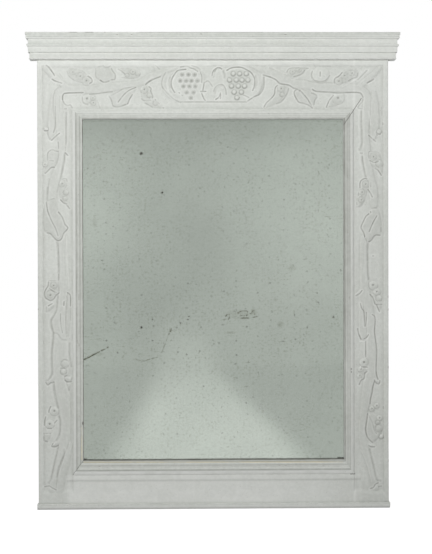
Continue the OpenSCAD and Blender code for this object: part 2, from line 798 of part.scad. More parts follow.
left_stile();
right_stile();
frieze_rail();
bottom_rail();
base_strip();
tenon_pegs();
sight_mould_top();
sight_mould_bottom();
sight_mould_left();
sight_mould_right();
cornice_front();
cornice_return_left();
cornice_return_right();
cornice_cap();
mirror_plate();
glazing_blocks();
back_board(1);  // back_board_1
back_board(2);  // back_board_2
back_board(3);  // back_board_3
back_board(4);  // back_board_4
back_board(5);  // back_board_5
back_board(6);  // back_board_6
back_board_nails();
hanger_strap_left();
hanger_strap_right();
hanger_screws();
hanger_ring_left();
hanger_ring_right();
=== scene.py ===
"""Trumeau mirror: an aged painted frame with a carved grapevine, a cornice and an old silvered plate.

The classes hold millimetres and turn them into metres where a mesh is made. X runs to the right, Z up, the
face looks along -Y, and the back lies on the plane y = 0.
"""

import logging
import math
from dataclasses import dataclass, field
from enum import Enum

import bpy
import numpy as np
from mathutils import Matrix, Vector


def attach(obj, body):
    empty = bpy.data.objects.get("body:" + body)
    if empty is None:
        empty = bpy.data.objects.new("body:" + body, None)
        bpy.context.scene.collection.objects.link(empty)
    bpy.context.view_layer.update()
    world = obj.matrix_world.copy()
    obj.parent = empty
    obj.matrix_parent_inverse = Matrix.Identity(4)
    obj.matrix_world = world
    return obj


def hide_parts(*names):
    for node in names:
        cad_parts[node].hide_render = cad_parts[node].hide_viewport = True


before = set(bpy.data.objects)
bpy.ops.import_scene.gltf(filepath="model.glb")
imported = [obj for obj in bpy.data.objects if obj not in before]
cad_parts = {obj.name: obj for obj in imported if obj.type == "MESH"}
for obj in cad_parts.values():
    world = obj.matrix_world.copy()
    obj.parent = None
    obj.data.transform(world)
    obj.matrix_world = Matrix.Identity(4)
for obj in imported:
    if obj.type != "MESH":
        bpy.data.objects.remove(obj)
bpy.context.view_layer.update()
LOG = logging.getLogger("trumeau_mirror")
MM = 0.001
EDGE = 0.5  # a face whose middle is nearer than this to a board's edge lies on that edge
DEEPEST_CUT = -22.0  # walls of a cut from the back have their middle behind this depth
Array = np.ndarray
Pair = tuple[float, float]
Triple = tuple[float, float, float]
Socket = bpy.types.NodeSocket
Material = bpy.types.Material
RIGHT, LEFT, UP, DOWN, OUT = (1, 0, 0), (-1, 0, 0), (0, 0, 1), (0, 0, -1), (0, -1, 0)
EVEN = (1.0, 1.0, 1.0)  # a pattern stretched along no axis
WHITE = (1.0, 1.0, 1.0)

# The vine is drawn on a squared sheet whose unit is about 3 mm of the face. The sheet was laid over the face
# a little aslant: these are the constant, the shares of across and of down, and the share of their product.
SHEET_UNIT = 3.0
SHEET_X = (-637.65, 3.0076, -0.01213, 0.0000170)
SHEET_Z = (1531.44, 0.0026, -3.00264, -0.0000424)


class Grain(Enum):
    """Direction of the wood's grain and of the brush."""

    ALONG_X = "x"
    ALONG_Z = "z"


class FruitKind(Enum):
    """How a round fruit is cut."""

    GRAPE = "grape"
    RINGED = "ringed"
    DRILLED = "drilled"
    SHADED = "shaded"


def on_face(across: float, down: float) -> Pair:
    """Turns a point of the squared sheet into millimetres of the face.

    Args:
        across: units from the sheet's left edge.
        down: units from the sheet's top edge.

    Returns:
        x and z in millimetres.
    """
    x, z = (a + b * across + c * down + d * across * down for a, b, c, d in (SHEET_X, SHEET_Z))
    return x, z


def smooth(t: Array) -> Array:
    """Eases t from 0 to 1: three t squared less two t cubed."""
    t = np.clip(t, 0.0, 1.0)
    return t * t * (3.0 - 2.0 * t)


def bell(distance: Array, width: float) -> Array:
    """A bell curve: e to the minus square of distance over width."""
    return np.exp(-np.square(distance / width))


def pillow(t: Array) -> Array:
    """A soft rise from 0 to 1: the sine of t quarter turns."""
    return np.sin(0.5 * math.pi * np.clip(t, 0.0, 1.0))


def quarter_round(t: Array) -> Array:
    """Height of a quarter circle at t from its foot: the root of one less the square of (1 - t)."""
    return np.sqrt(1.0 - np.square(1.0 - np.clip(t, 0.0, 1.0)))


def lattice(column: Array, row: Array, seed: int) -> Array:
    """A fixed value from -1 to 1 for each lattice point: the fraction of a large multiple of a sine."""
    wave = np.sin(column * 127.1 + row * 311.7 + seed * 74.7) * 43758.5453
    return 2.0 * (wave - np.floor(wave)) - 1.0


def uneven(x: Array, z: Array, cell: float, seed: int, octaves: int = 2) -> Array:
    """Soft random relief: lattice values eased between lattice points, with finer layers at half the height.

    Args:
        x: first coordinate of each point.
        z: second coordinate of each point.
        cell: size of the coarsest lattice cell.
        seed: number that picks the pattern.
        octaves: how many layers are added.

    Returns:
        values between about -1 and 1, one for each point.
    """
    total = np.zeros(np.broadcast(x, z).shape)
    for octave in range(octaves):
        u, v = x / cell * 2**octave, z / cell * 2**octave
        i, j = np.floor(u), np.floor(v)
        s, t = smooth(u - i), smooth(v - j)
        low = lattice(i, j, seed + octave) * (1 - s) + lattice(i + 1, j, seed + octave) * s
        high = lattice(i, j + 1, seed + octave) * (1 - s) + lattice(i + 1, j + 1, seed + octave) * s
        total += (low * (1 - t) + high * t) / 2**octave
    return total / (2.0 - 2.0 ** (1 - octaves))


def blurred(values: Array, reach: int) -> Array:
    """Means over a square window, from differences of running sums along both axes.

    Args:
        values: one value for each cell of a grid.
        reach: how many cells the window goes out on each side.

    Returns:
        the mean round each cell.
    """
    out = values
    for axis in (0, 1):
        pad = [(0, 0), (0, 0)]
        pad[axis] = (reach + 1, reach)
        sums = np.cumsum(np.pad(out, pad, mode="edge"), axis=axis)
        size = out.shape[axis]
        upper = np.take(sums, np.arange(2 * reach + 1, 2 * reach + 1 + size), axis=axis)
        lower = np.take(sums, np.arange(0, size), axis=axis)
        out = (upper - lower) / (2 * reach + 1)
    return out


def spline(points: Array, steps: int = 6) -> Array:
    """A curve through the points: the Catmull-Rom cubic of four neighbours, in equal steps of each span.

    Args:
        points: one row for each point, with any number of columns.
        steps: how many points each span gets.

    Returns:
        one row for each point of the curve.
    """
    padded = np.vstack([points[:1], points, points[-1:]])
    a, b, c, d = (padded[k : len(points) - 1 + k, None, :] for k in range(4))
    t = (np.arange(steps) / steps)[None, :, None]
    cubic = 2 * b + (c - a) * t + (2 * a - 5 * b + 4 * c - d) * t**2 + (3 * b - a - 3 * c + d) * t**3
    return np.vstack([0.5 * cubic.reshape(-1, points.shape[1]), points[-1:]])


def spread(breaks: list[float], pitches: list[float]) -> Array:
    """Grid lines from each break to the next, about one pitch apart, each pitch for its own span."""
    spans = [
        np.linspace(low, high, max(2, round((high - low) / pitch) + 1))[:-1]
        for low, high, pitch in zip(breaks, breaks[1:], pitches)
    ]
    return np.concatenate(spans + [np.array([breaks[-1]])])


def eased(points: Array, radius: float, steps: int = 3) -> Array:
    """Rounds each corner of a closed outline with a quadratic curve from one side of the corner to the other.

    Args:
        points: the corners, one row each; of two that coincide only one is kept.
        radius: how far from the corner the curve starts, at most 0.45 of the side.
        steps: how many steps each curve has.

    Returns:
        the points of the rounded outline.
    """
    points = points[np.linalg.norm(np.roll(points, -1, 0) - points, axis=1) > 1e-6]
    before, after = np.roll(points, 1, 0) - points, np.roll(points, -1, 0) - points
    before_l, after_l = np.linalg.norm(before, axis=1), np.linalg.norm(after, axis=1)
    reach = np.minimum(radius, 0.45 * np.minimum(before_l, after_l))[:, None]
    start, end = points + before / before_l[:, None] * reach, points + after / after_l[:, None] * reach
    t = (np.arange(steps + 1) / steps)[None, :, None]
    curve = (1 - t) ** 2 * start[:, None] + 2 * t * (1 - t) * points[:, None] + t**2 * end[:, None]
    return curve.reshape(-1, points.shape[1])


def refined(points: Array, pitch: float) -> Array:
    """Adds points to a closed outline, so that no side is longer than the pitch."""
    after = np.roll(points, -1, 0)
    counts = np.maximum(1, np.ceil(np.linalg.norm(after - points, axis=1) / pitch)).astype(int)
    index = np.repeat(np.arange(len(points)), counts)
    share = (np.arange(len(index)) - np.repeat(np.cumsum(counts) - counts, counts)) / counts[index]
    return points[index] + (after[index] - points[index]) * share[:, None]


def arc(centre: Pair, radius: float, start: float, end: float, steps: int = 10) -> Array:
    """Points on a circle: the centre plus the radius times the cosine and sine of angles in degrees."""
    angle = np.radians(np.linspace(start, end, steps + 1))
    return np.stack([centre[0] + radius * np.cos(angle), centre[1] + radius * np.sin(angle)], 1)


def grid_quads(rows: int, columns: int, close_rows: bool = False, close_columns: bool = False) -> Array:
    """Corner numbers of the quads of a grid of vertices, row by row.

    Args:
        rows: number of rows of vertices.
        columns: number of vertices in a row.
        close_rows: whether the last row joins the first.
        close_columns: whether the last column joins the first.

    Returns:
        one row of four vertex numbers for each quad.
    """
    index = np.arange(rows * columns).reshape(rows, columns)
    if close_rows:
        index = np.vstack([index, index[:1]])
    if close_columns:
        index = np.hstack([index, index[:, :1]])
    corners = [index[:-1, :-1], index[:-1, 1:], index[1:, 1:], index[1:, :-1]]
    return np.stack(corners, -1).reshape(-1, 4)


@dataclass
class Shape:
    """A closed mesh in the making: vertices in millimetres, faces, and masks with a value for each vertex."""

    vertices: Array
    faces: list[list[int]]
    masks: dict[str, Array] = field(default_factory=dict)

    def mesh(self, name: str) -> bpy.types.Mesh:
        """Makes the Blender mesh in metres, with one float attribute for each mask.

        Args:
            name: the mesh's name.

        Returns:
            the mesh.
        """
        mesh = bpy.data.meshes.new(name)
        mesh.from_pydata((self.vertices * MM).tolist(), [], self.faces)
        for key, values in self.masks.items():
            mesh.attributes.new(key, "FLOAT", "POINT").data.foreach_set("value", values.astype(np.float32))
        mesh.update()
        return mesh


def joined(shapes: list[Shape]) -> Shape:
    """Several shapes without masks as one: their vertices in turn, and their faces numbered to match."""
    shifts = np.cumsum([0] + [len(shape.vertices) for shape in shapes])
    faces = [[i + int(shift) for i in face] for shape, shift in zip(shapes, shifts) for face in shape.faces]
    return Shape(np.vstack([shape.vertices for shape in shapes]), faces)


def box_shape(low: Triple, high: Triple) -> Shape:
    """A box from its lowest and highest corner."""
    x, y, z = zip(low, high)
    corners = np.array([(x[i], y[j], z[k]) for k in (0, 1) for j in (0, 1) for i in (0, 1)])
    faces = [[0, 2, 3, 1], [4, 5, 7, 6], [0, 1, 5, 4], [2, 6, 7, 3], [0, 4, 6, 2], [1, 3, 7, 5]]
    return Shape(corners, faces)


def tube_shape(path: Array, radius: Array, sides: int) -> Shape:
    """A round tube along a closed path: circles at right angles to the path, carried round it.

    Args:
        path: points of the middle line, one row each; the last joins the first.
        radius: the tube's radius at each point.
        sides: points round the tube.

    Returns:
        the tube.
    """
    ahead = np.roll(path, -1, 0) - np.roll(path, 1, 0)
    ahead /= np.linalg.norm(ahead, axis=1)[:, None]
    side = np.cross(ahead, np.array([0.0, 1.0, 0.0]))
    side /= np.linalg.norm(side, axis=1)[:, None]
    up = np.cross(side, ahead)
    angle = np.arange(sides) / sides * 2 * math.pi
    circle = np.cos(angle)[None, :, None] * side[:, None] + np.sin(angle)[None, :, None] * up[:, None]
    vertices = (path[:, None] + radius[:, None, None] * circle).reshape(-1, 3)
    faces = grid_quads(len(path), sides, close_rows=True, close_columns=True)
    return Shape(vertices, faces[:, ::-1].tolist())


def turned_shape(profile: Array, base: Triple, sides: int) -> Shape:
    """A turned form about an axis along Y: each point of the profile carried round a circle.

    Args:
        profile: rows of (radius, distance behind the base), from the axis round to the axis.
        base: the point on the axis where the distance is zero.
        sides: points round the axis.

    Returns:
        the closed form.
    """
    inner = profile[1:-1]
    angle = np.arange(sides) / sides * 2 * math.pi
    x = base[0] + inner[:, :1] * np.cos(angle)
    z = base[2] + inner[:, :1] * np.sin(angle)
    y = np.broadcast_to(base[1] + inner[:, 1:], x.shape)
    ring = np.stack([x, y, z], -1).reshape(-1, 3)
    ends = np.array([[base[0], base[1] + behind, base[2]] for behind in (profile[0, 1], profile[-1, 1])])
    count, last = len(ring), (len(inner) - 1) * sides
    faces = grid_quads(len(inner), sides, close_columns=True).tolist()
    faces += [[count, (i + 1) % sides, i] for i in range(sides)]
    faces += [[count + 1, last + i, last + (i + 1) % sides] for i in range(sides)]
    return Shape(np.vstack([ring, ends]), faces)


@dataclass
class Shader:
    """A material's nodes, added by short calls that return the output they make."""

    name: str
    material: Material = field(init=False)

    def __post_init__(self) -> None:
        """Starts the material with a principled shader on its output."""
        self.material = bpy.data.materials.new(self.name)
        self.material.use_nodes = True
        self.tree = self.material.node_tree
        self.tree.nodes.clear()
        self.output = self.tree.nodes.new("ShaderNodeOutputMaterial")
        self.surface = self.tree.nodes.new("ShaderNodeBsdfPrincipled")
        self.link(self.surface.outputs[0], self.output.inputs["Surface"])
        self.place = self.tree.nodes.new("ShaderNodeTexCoord").outputs["Object"]

    def link(self, source: Socket, target: Socket) -> None:
        """Joins an output to an input."""
        self.tree.links.new(source, target)

    def fill(self, target: Socket, value: object) -> None:
        """Puts something into an input.

        Args:
            target: the input.
            value: a number, a colour, a vector or another node's output.
        """
        if isinstance(value, Socket):
            self.link(value, target)
        elif isinstance(value, tuple) and target.type == "RGBA":
            target.default_value = (*value, 1.0)
        else:
            target.default_value = value

    def math(self, operation: str, a: object, b: object = 0.0, clamp: bool = False) -> Socket:
        """A sum, product or other operation on two numbers."""
        node = self.tree.nodes.new("ShaderNodeMath")
        node.operation, node.use_clamp = operation, clamp
        self.fill(node.inputs[0], a)
        self.fill(node.inputs[1], b)
        return node.outputs[0]

    def times(self, a: object, b: object) -> Socket:
        """The product of two numbers."""
        return self.math("MULTIPLY", a, b)

    def vector(self, operation: str, a: object, b: object = (0.0, 0.0, 0.0)) -> Socket:
        """A sum, product or other operation on two vectors; lengths and dot products give a number."""
        node = self.tree.nodes.new("ShaderNodeVectorMath")
        node.operation = operation
        self.fill(node.inputs[0], a)
        self.fill(node.inputs[1], b)
        return node.outputs["Value" if operation in ("LENGTH", "DOT_PRODUCT") else "Vector"]

    def mix(self, share: object, a: object, b: object) -> Socket:
        """A colour between two others.

        Args:
            share: how much of the second there is, from 0 to 1.
            a: the first colour.
            b: the second colour.

        Returns:
            the mixed colour.
        """
        node = self.tree.nodes.new("ShaderNodeMix")
        node.data_type = "RGBA"
        self.fill(node.inputs[0], share)
        self.fill(node.inputs[6], a)
        self.fill(node.inputs[7], b)
        return node.outputs[2]

    def step(self, value: object, low: float, high: float, bottom: float = 0.0, top: float = 1.0) -> Socket:
        """Runs smoothly from bottom to top as the value goes from low to high.

        Args:
            value: the number that is read.
            low: where the run starts; it may lie above where it ends.
            high: where it ends.
            bottom: what it gives at the start.
            top: what it gives at the end.

        Returns:
            the eased number.
        """
        node = self.tree.nodes.new("ShaderNodeMapRange")
        node.interpolation_type = "SMOOTHSTEP"
        for key, number in zip(("From Min", "From Max", "To Min", "To Max"), (low, high, bottom, top)):
            node.inputs[key].default_value = number
        self.fill(node.inputs["Value"], value)
        return node.outputs[0]

    def noise(self, scale: float, detail: float = 2.0, stretch: Triple = EVEN, bend: float = 0.0) -> Socket:
        """Noise in object space.

        Args:
            scale: cells to a metre.
            detail: how many finer layers are added.
            stretch: what the scale is multiplied by along each axis.
            bend: how far the pattern is bent.

        Returns:
            the noise, from 0 to 1.
        """
        node = self.tree.nodes.new("ShaderNodeTexNoise")
        node.inputs["Scale"].default_value = scale
        node.inputs["Detail"].default_value = detail
        node.inputs["Distortion"].default_value = bend
        self.link(self.vector("MULTIPLY", self.place, stretch), node.inputs["Vector"])
        return node.outputs[0]

    def cells(self, scale: float, feature: str = "F1", stretch: Triple = EVEN) -> bpy.types.Node:
        """A cell pattern in object space."""
        node = self.tree.nodes.new("ShaderNodeTexVoronoi")
        node.feature = feature
        node.inputs["Scale"].default_value = scale
        self.link(self.vector("MULTIPLY", self.place, stretch), node.inputs["Vector"])
        return node

    def specks(self, scale: float, radius: float, share: float, seed: float, stray: object) -> Socket:
        """Small ragged specks strewn over the XZ plane.

        Args:
            scale: how many cells there are to a metre; each holds one place for a speck.
            radius: radius of a speck as a share of a cell.
            share: about how many of the places have a speck.
            seed: shift that picks the pattern.
            stray: how far their outlines stray, as a vector output in metres.

        Returns:
            one on a speck, zero elsewhere; a speck's strength differs from one to the next.
        """
        turn = self.tree.nodes.new("ShaderNodeMapping")
        turn.inputs["Rotation"].default_value = (math.radians(90.0), 0.0, 0.0)
        turn.inputs["Location"].default_value = (seed, seed, 0.0)
        self.link(self.vector("ADD", self.place, stray), turn.inputs["Vector"])
        node = self.tree.nodes.new("ShaderNodeTexVoronoi")
        node.voronoi_dimensions = "2D"
        node.inputs["Scale"].default_value = scale
        self.link(turn.outputs[0], node.inputs["Vector"])
        chosen = self.tree.nodes.new("ShaderNodeSeparateColor")
        self.link(node.outputs["Color"], chosen.inputs[0])
        there = self.step(chosen.outputs[0], 1.0 - share, 1.0 - 0.6 * share, 0.0, 1.0)
        round_spot = self.step(node.outputs["Distance"], radius, 0.4 * radius)
        return self.times(self.times(round_spot, there), self.step(chosen.outputs[1], 0.0, 1.0, 0.4, 1.0))

    def mask(self, name: str) -> Socket:
        """A mask that the mesh carries for each vertex, zero where it has none."""
        node = self.tree.nodes.new("ShaderNodeAttribute")
        node.attribute_name = name
        return node.outputs["Fac"]

    def bump(self, height: object, depth: float, strength: float = 1.0) -> None:
        """Makes the surface uneven by a height pattern whose full swing is the depth in metres."""
        node = self.tree.nodes.new("ShaderNodeBump")
        node.inputs["Distance"].default_value = depth
        node.inputs["Strength"].default_value = strength
        self.fill(node.inputs["Height"], height)
        self.link(node.outputs[0], self.surface.inputs["Normal"])

    def near_line(self, start: Pair, end: Pair, width: float, wander: object) -> Socket:
        """One on a straight line of the face, falling to zero at the width beside it.

        Args:
            start: one end as x and z in millimetres.
            end: the other end.
            width: half width of the mark in millimetres.
            wander: how far the mark strays, as a vector output in metres.

        Returns:
            the mark's strength.
        """
        a = Vector((start[0], 0.0, start[1])) * MM
        run = Vector((end[0], 0.0, end[1])) * MM - a
        flat = self.vector("MULTIPLY", self.vector("ADD", self.place, wander), (1.0, 0.0, 1.0))
        offset = self.vector("SUBTRACT", flat, tuple(a))
        along = self.vector("DOT_PRODUCT", offset, tuple(run.normalized()))
        held = self.math("MINIMUM", self.math("MAXIMUM", along, 0.0), run.length)
        scaled = self.tree.nodes.new("ShaderNodeVectorMath")
        scaled.operation = "SCALE"
        scaled.inputs[0].default_value = tuple(run.normalized())
        self.link(held, scaled.inputs["Scale"])
        away = self.vector("LENGTH", self.vector("SUBTRACT", offset, scaled.outputs[0]))
        return self.step(away, width * MM, 0.3 * width * MM)

    def near_spot(self, place: Pair, half: Pair, wander: object, core: float = 0.35) -> Socket:
        """One in the middle of an upright oval, falling to zero at its rim.

        Args:
            place: its middle as x and z in metres.
            half: half its width and height in metres.
            wander: how far the mark strays, as a vector output in metres.
            core: share of the half sizes that is at full strength.

        Returns:
            the mark's strength.
        """
        offset = self.vector("SUBTRACT", self.vector("ADD", self.place, wander), (place[0], 0.0, place[1]))
        scaled = self.vector("MULTIPLY", offset, (1.0 / half[0], 0.0, 1.0 / half[1]))
        return self.step(self.vector("LENGTH", scaled), 1.0, core)

    def wander(self, scale: float, reach: float) -> Socket:
        """A small random shift of place, in metres, for ragged marks."""
        node = self.tree.nodes.new("ShaderNodeTexNoise")
        node.inputs["Scale"].default_value = scale
        self.link(self.place, node.inputs["Vector"])
        centred = self.vector("SUBTRACT", node.outputs["Color"], (0.5, 0.5, 0.5))
        return self.vector("MULTIPLY", centred, (reach, reach, reach))

    def most(self, values: list[Socket]) -> Socket:
        """The largest of several numbers."""
        total = values[0]
        for value in values[1:]:
            total = self.math("MAXIMUM", total, value)
        return total


@dataclass(frozen=True)
class Crack:
    """A hairline or a yellowed line in the paint, between two points of the squared sheet."""

    start: Pair
    end: Pair
    width: float = 1.3


CRACKS = (
    Crack((343.4, 124.0), (361.0, 98.0)),
    Crack((83.2, 459.6), (72.4, 474.5), 0.8),
    Crack((350.0, 473.5), (354.6, 473.5), 1.6),
    Crack((82.3, 422.0), (82.3, 423.6), 3.0),
    Crack((350.7, 368.0), (350.7, 368.6), 2.2),
    Crack((350.7, 371.0), (350.7, 371.5), 2.2),
)
CREAMY = (
    Crack((83.5, 461.6), (342.0, 461.4), 2.3),
    Crack((81.4, 427.0), (81.4, 459.0), 2.0),
)


@dataclass(frozen=True)
class AgedPaint:
    """Old off-white paint over wood: brush marks, grime and painted shade in the hollows, painted light on
    edges, worn and chipped edges.
    """

    name: str
    grain: Grain
    colour: Triple = (0.685, 0.705, 0.667)
    shade: Triple = (0.635, 0.654, 0.613)
    # colour of grime and of painted shade in hollows, cuts and under parts
    grime_and_shade: Triple = (0.150, 0.152, 0.128)
    # colour of painted light, laid on edges and lit places
    rubbed: Triple = (0.900, 0.910, 0.880)
    wood: Triple = (0.110, 0.082, 0.060)
    blotch: Triple = (0.600, 0.610, 0.560)
    brushed: Triple = (0.750, 0.763, 0.725)
    dark_mottle: Triple = (0.560, 0.575, 0.540)
    pale_mottle: Triple = (0.800, 0.812, 0.780)
    speck: Triple = (0.20, 0.18, 0.14)
    pale_wood: Triple = (0.215, 0.160, 0.110)
    cream: Triple = (0.760, 0.705, 0.520)
    crack: Triple = (0.10, 0.095, 0.08)
    roughness: Pair = (0.42, 0.62)
    cracks: tuple[Crack, ...] = CRACKS
    creamy: tuple[Crack, ...] = CREAMY

    def material(self) -> Material:
        """Builds the paint.

        Returns:
            the material, which reads object space, the mask of grime and painted shade, the mask of painted
            light and the mask of bare wood.
        """
        s = Shader(self.name)
        along_grain = (0.05, 1.0, 1.0) if self.grain is Grain.ALONG_X else (1.0, 1.0, 0.05)
        streaks = s.noise(420.0, 3.0, along_grain)
        clouds = s.noise(5.0, 4.0)
        blots = s.noise(26.0, 4.0, bend=0.6)
        tone = s.mix(s.step(clouds, 0.30, 0.72), self.shade, self.colour)
        tone = s.mix(s.step(blots, 0.56, 0.80, 0.0, 0.30), tone, self.blotch)
        tone = s.mix(s.step(streaks, 0.35, 0.75, 0.0, 0.22), tone, self.brushed)
        mottle = s.noise(105.0, 2.0, bend=0.4)
        tone = s.mix(s.step(mottle, 0.42, 0.68, 0.0, 0.20), tone, self.dark_mottle)
        tone = s.mix(s.step(mottle, 0.52, 0.34, 0.0, 0.24), tone, self.pale_mottle)
        # Grime and painted shade from the mesh's mask, darkest in hollows and cuts.
        hollow = s.math("MULTIPLY", s.mask("grime_and_shade"), s.step(blots, 0.2, 0.65, 0.65, 1.0), clamp=True)
        # Painted light from the mesh's mask, on edges and lit places.
        tone = s.mix(s.times(s.mask("clean"), s.step(blots, 0.3, 0.7, 0.6, 1.0)), tone, self.rubbed)
        tone = s.mix(hollow, tone, self.grime_and_shade)
        speck = s.cells(150.0)
        rare = s.step(speck.outputs["Color"], 0.70, 0.72)
        dots = s.times(s.step(speck.outputs["Distance"], 0.16, 0.07), rare)
        tone = s.mix(s.times(dots, 0.45), tone, self.speck)
        ragged = s.math("ADD", s.mask("bare"), s.times(s.math("SUBTRACT", s.noise(300.0, 3.0), 0.5), 0.9))
        bare = s.times(s.step(ragged, 0.42, 0.50), s.step(s.mask("bare"), 0.02, 0.12))
        tone = s.mix(bare, tone, s.mix(streaks, self.wood, self.pale_wood))
        craze = s.step(s.cells(95.0, "DISTANCE_TO_EDGE").outputs["Distance"], 0.0, 0.035)
        height = s.math("ADD", s.times(streaks, 0.45), s.times(s.noise(60.0, 5.0), 0.9))
        height = s.math("ADD", height, s.times(craze, 0.10))
        height = s.math("SUBTRACT", height, s.times(bare, 0.6))
        stray = s.wander(70.0, 0.0022)
        creamy, cracked = (
            s.most([s.near_line(on_face(*c.start), on_face(*c.end), c.width, stray) for c in marks])
            for marks in (self.creamy, self.cracks)
        )
        tone = s.mix(s.times(creamy, s.step(blots, 0.35, 0.55, 0.3, 0.9)), tone, self.cream)
        tone = s.mix(s.times(cracked, 0.85), tone, self.crack)
        height = s.math("SUBTRACT", height, s.times(cracked, 1.5))
        s.bump(height, 0.00045, 0.8)
        s.link(tone, s.surface.inputs["Base Color"])
        s.link(s.step(blots, 0.3, 0.75, *self.roughness), s.surface.inputs["Roughness"])
        return s.material


@dataclass(frozen=True)
class BareWood:
    """Unpainted wood, browned with age: long grain, rings, knots, dust and the open joint of a board."""

    name: str
    grain: Grain
    light: Triple = (0.390, 0.275, 0.168)
    dark: Triple = (0.230, 0.148, 0.082)
    knot: Triple = (0.065, 0.036, 0.018)
    dust: Triple = (0.300, 0.265, 0.215)
    aged: Triple = (0.170, 0.135, 0.100)
    gap: Triple = (0.030, 0.022, 0.015)
    shift: float = 0.0
    joint: float | None = None

    def material(self) -> Material:
        """Builds the wood.

        Returns:
            the material, which reads object space.
        """
        s = Shader(self.name)
        surface = s.place
        s.place = s.vector("ADD", surface, (2.3 * self.shift, 0.0, 1.7 * self.shift))
        along_x = self.grain is Grain.ALONG_X
        fibres = s.noise(520.0, 4.0, (0.03, 1.0, 1.0) if along_x else (1.0, 1.0, 0.03))
        rings = s.noise(26.0, 2.0, (0.035, 1.0, 1.0) if along_x else (1.0, 1.0, 0.035), bend=0.5)
        bands = s.math("PINGPONG", s.times(rings, 14.0), 1.0)
        tone = s.mix(s.step(bands, 0.05, 0.75, 0.25, 1.0), self.dark, self.light)
        tone = s.mix(s.step(fibres, 0.35, 0.7, 0.0, 0.35), tone, self.dark)
        knot = s.cells(4.2, stretch=(0.6, 1.0, 1.0) if along_x else (1.0, 1.0, 0.6))
        tone = s.mix(s.step(knot.outputs["Distance"], 0.085, 0.03), tone, self.knot)
        tone = s.mix(s.step(s.noise(3.0, 4.0), 0.45, 0.75, 0.0, 0.45), tone, self.dust)
        age = 0.5 + 0.5 * math.sin(37.0 * self.shift)
        tone = s.mix(0.28 * age, tone, self.aged)
        saw = s.noise(190.0, 1.0, (1.0, 1.0, 0.12) if along_x else (0.12, 1.0, 1.0))
        if self.joint is not None:
            s.place = surface
            line = s.near_line((-420.0, self.joint), (420.0, self.joint), 2.6, s.wander(60.0, 0.0006))
            tone = s.mix(s.times(line, 0.85), tone, self.gap)
        s.bump(s.math("ADD", fibres, s.times(saw, 0.5)), 0.0005, 0.7)
        s.link(tone, s.surface.inputs["Base Color"])
        s.link(s.step(fibres, 0.2, 0.8, 0.68, 0.88), s.surface.inputs["Roughness"])
        return s.material


@dataclass(frozen=True)
class RustyIron:
    """Wrought iron with a dark skin and rust."""

    name: str
    skin: Triple = (0.060, 0.054, 0.050)
    rust: Triple = (0.190, 0.082, 0.036)
    grit: Triple = (0.105, 0.060, 0.038)

    def material(self) -> Material:
        """Builds the iron.

        Returns:
            the material, which reads object space.
        """
        s = Shader(self.name)
        rust = s.step(s.noise(140.0, 5.0, bend=0.5), 0.42, 0.62)
        grit = s.noise(900.0, 3.0)
        tone = s.mix(rust, self.skin, self.rust)
        tone = s.mix(s.times(grit, 0.4), tone, self.grit)
        s.bump(s.math("ADD", grit, s.times(rust, 0.8)), 0.00018, 0.8)
        s.link(tone, s.surface.inputs["Base Color"])
        s.link(s.step(rust, 0.0, 1.0, 0.75, 0.12), s.surface.inputs["Metallic"])
        s.link(s.step(rust, 0.0, 1.0, 0.45, 0.85), s.surface.inputs["Roughness"])
        return s.material


@dataclass(frozen=True)
class Blemish:
    """A spot in the silvering: its place on the squared sheet, half sizes in millimetres and strength."""

    place: Pair
    half: Pair
    strength: float = 0.6


@dataclass(frozen=True)
class Scratch:
    """A scratch in the silvering between two points of the squared sheet."""

    start: Pair
    end: Pair
    width: float
    strength: float = 0.7


SPOTS = (
    Blemish((140.6, 153.0), (7.0, 6.2), 1.00),
    Blemish((161.5, 192.0), (4.7, 4.5), 1.00),
    Blemish((140.8, 326.8), (5.0, 5.0), 1.00),
    Blemish((188.2, 316.0), (4.1, 3.1), 0.75),
    Blemish((179.7, 322.5), (3.5, 3.1), 0.75),
    Blemish((113.6, 321.6), (3.5, 2.8), 0.75),
    Blemish((202.7, 385.6), (3.5, 2.8), 0.75),
    Blemish((252.2, 396.6), (3.1, 3.5), 0.75),
    Blemish((245.5, 402.3), (3.5, 2.8), 0.62),
    Blemish((218.3, 342.4), (3.5, 2.8), 0.62),
    Blemish((282.5, 340.9), (3.7, 2.8), 0.62),
    Blemish((332.9, 316.5), (3.5, 4.7), 0.75),
    Blemish((226.8, 146.5), (3.1, 2.5), 0.62),
    Blemish((155.4, 260.2), (3.1, 3.1), 0.50),
    Blemish((101.5, 260.0), (3.7, 2.5), 0.50),
)
WORN = (
    Blemish((239.0, 314.0), (58.0, 20.0), 0.34),
    Blemish((252.5, 311.5), (12.0, 14.0), 0.60),
    Blemish((280.0, 323.8), (14.0, 13.0), 0.50),
    Blemish((291.5, 267.5), (18.0, 10.0), 0.40),
    Blemish((230.0, 332.0), (20.0, 5.0), 0.50),
    Blemish((98.0, 353.0), (22.0, 10.0), 0.40),
    Blemish((94.0, 222.0), (10.0, 22.0), 0.35),
    Blemish((170.0, 330.0), (7.0, 9.0), 0.80),
)
